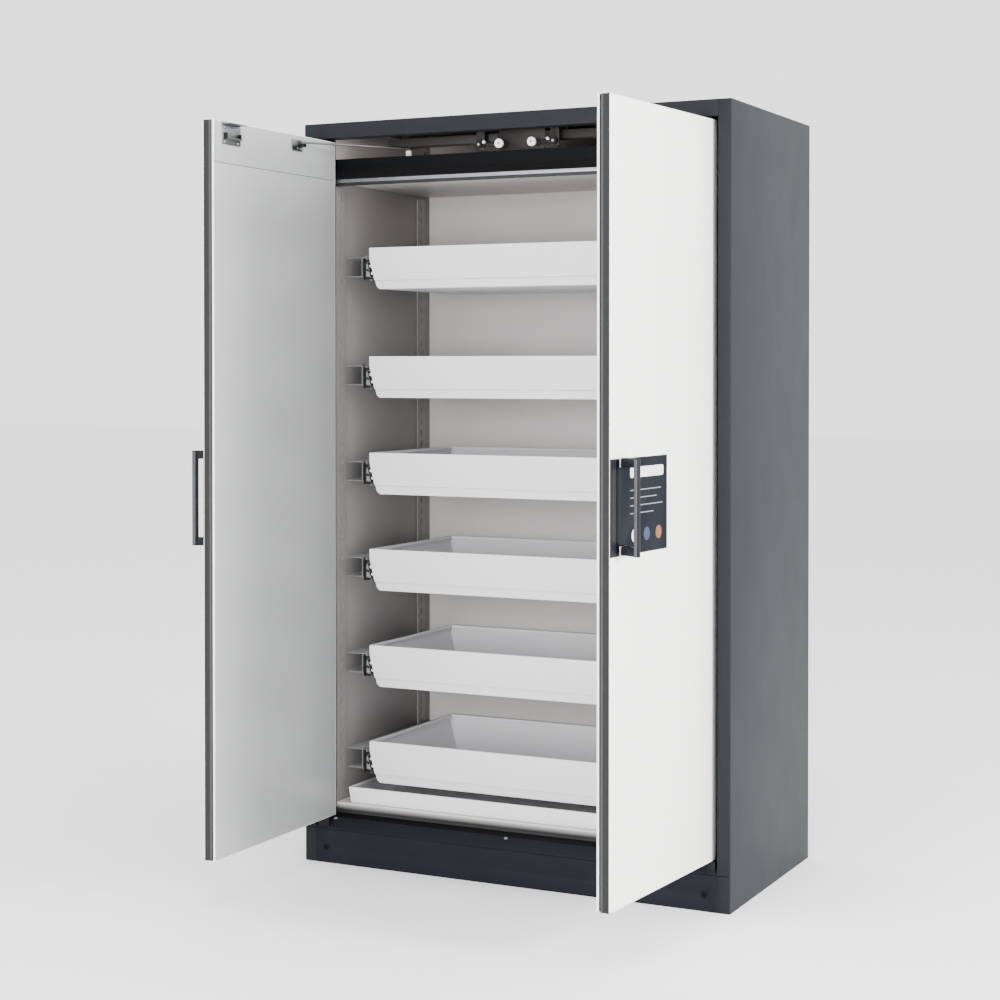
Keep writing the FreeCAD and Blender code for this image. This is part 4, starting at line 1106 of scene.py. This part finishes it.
def makeDucts():
    radius, lowRadius, low, high = (duct[key] for key in ("radius", "lowRadius", "low", "high"))
    roof, collar, reach, step = casing["height"], duct["collar"], duct["pinReach"], duct["step"]
    inner = radius - duct["wall"]
    tube = [(inner, low), (lowRadius, low), (lowRadius, step - 0.5), (radius, step)]
    tube += [(radius + out, level) for out, level in duct["bead"]]
    tube += [(radius, high - 0.6), (radius - 0.6, high), (inner, high)]
    tube += [(inner + out, level) for out, level in reversed(duct["bead"])]
    flange = [(lowRadius + 0.1, roof), (collar, roof), (collar, roof + 1.4),
              (collar - 0.6, roof + 2), (radius + 2, roof + 2), (radius + 0.1, roof + 4),
              (lowRadius + 0.1, roof + 1.4)]
    gasket = [(radius + past, level) for past, level in duct["gasket"]]
    pinRings = [(2.6, -reach), (3, 0.5 - reach), (3, reach - 0.5), (2.6, reach)]
    tubes, rubbers, heads = [], [], []
    for name, across in duct["across"].items():
        center = (across, duct["along"], 0)
        for rings, group in ((tube, tubes), (flange, tubes), (gasket, rubbers)):
            group.append(smoothFlats(turnRings(rings, center, "Z", 64, closed=True)))
        corners = arc(center[:2], collar - duct["screwInset"], 45, 315, 3)
        heads += [screwHead((*corner, roof + 2), "Z", 3.4, 1.6) for corner in corners]
        bottom, top = nodeBox(f"damper_{name}")
        middle = (*center[:2], (bottom[2] + top[2]) / 2)
        pin = turnRings(pinRings, middle, "X", 20)
        blade = join([turnRings(duct["plate"], middle, "Y", 48), pin])
        rim = smoothFlats(turnRings(duct["rim"], middle, "Y", 48, closed=True))
        finishPiece(blade, "damperPlate" + name.capitalize(), f"damper_{name}", instead=True)
        finishPiece(rim, "damperRim" + name.capitalize(), f"damper_{name}", "seal_rubber")
    finishPiece(join(tubes + heads), "airDucts", "air_ducts", instead=True)
    finishPiece(join(rubbers), "ductGaskets", "air_ducts", "seal_rubber")


stud = {"washer": (7.5, 1.4), "nut": (6, 6), "thread": (3, 2.6)}
foot = {"setIn": 22, "pad": 22, "neck": 6, "nut": 10.5, "nutLow": 79, "nutHigh": 87}


def hexNut(radius, across, along, low, high, soften):
    corners = arc((across, along), radius, 0, 300, 5)
    return roundEdges(drawOutline(corners, "Z", low, high), soften)


def makeStud():
    low, high = nodeBox("earth_stud")
    across, along = (low[0] + high[0]) / 2, (low[1] + high[1]) / 2
    base, top, (wide, collar), (nutRadius, nutTop) = low[2], high[2], stud["washer"], stud["nut"]
    center = (across, along, 0)
    rings = [(wide, base), (wide, base + 1), (wide - 0.5, base + collar)]
    washer = turnRings(rings, center, "Z", 28)
    nut = hexNut(nutRadius, across, along, base + collar, base + nutTop, 0.5)
    (crest, root), level = stud["thread"], base + nutTop
    rings = [(crest, level - 1)]
    while level < top - 1.5:
        rings += [(crest, level), (root, level + 0.5), (crest, level + 1)]
        level += 1
    rings += [(crest - 0.1, top - 1), (crest - 0.7, top)]
    thread = turnRings(rings, center, "Z", 20)
    finishPiece(join([washer, nut, thread]), "earthStud", "earth_stud", instead=True)


def makeFeet():
    high = nodeBox("leveling_feet")[1]
    across, along, top = high[0] - foot["setIn"], high[1] - foot["setIn"], high[2]
    pad, neck = foot["pad"], foot["neck"]
    rings = [(pad - 1, 0), (pad, 1), (pad, 5), (pad - 3, 8), (neck + 2, 9.5), (neck, 11),
             (neck, top - 0.6), (neck - 0.6, top)]
    post = turnRings(rings, (across, along, 0), "Z", 28)
    nut = hexNut(foot["nut"], across, along, foot["nutLow"], foot["nutHigh"], 0.8)
    feet = [join([smoothFlats(post), nut])]
    feet += [copyTo(feet[0], (-2 * across * left, -2 * along * front, 0))
             for left, front in ((1, 0), (0, 1), (1, 1))]
    finishPiece(join(feet), "levelingFeet", "leveling_feet", instead=True)


print("shader and modelling tools ready")
setCamera()
setStudio()
for nodeName, nodeObject in cadNodes.items():
    nodeObject.data.materials.clear()
    nodeObject.data.materials.append(finishes[slotOfNode[nodeName]])
print("camera, light and finishes set")

for sideName in sideSign:
    makeDoorLeaf(sideName)
    makeHandle(sideName)
    makeFittings(sideName)
makeLabelPlate()
print("doors modelled")
makeDrawers()
makeSump()
makeOpening()
makeUprights()
print("storage space modelled")
makeMechanism()
makeCasing()
makeDucts()
makeStud()
makeFeet()
print("casing and fittings modelled")
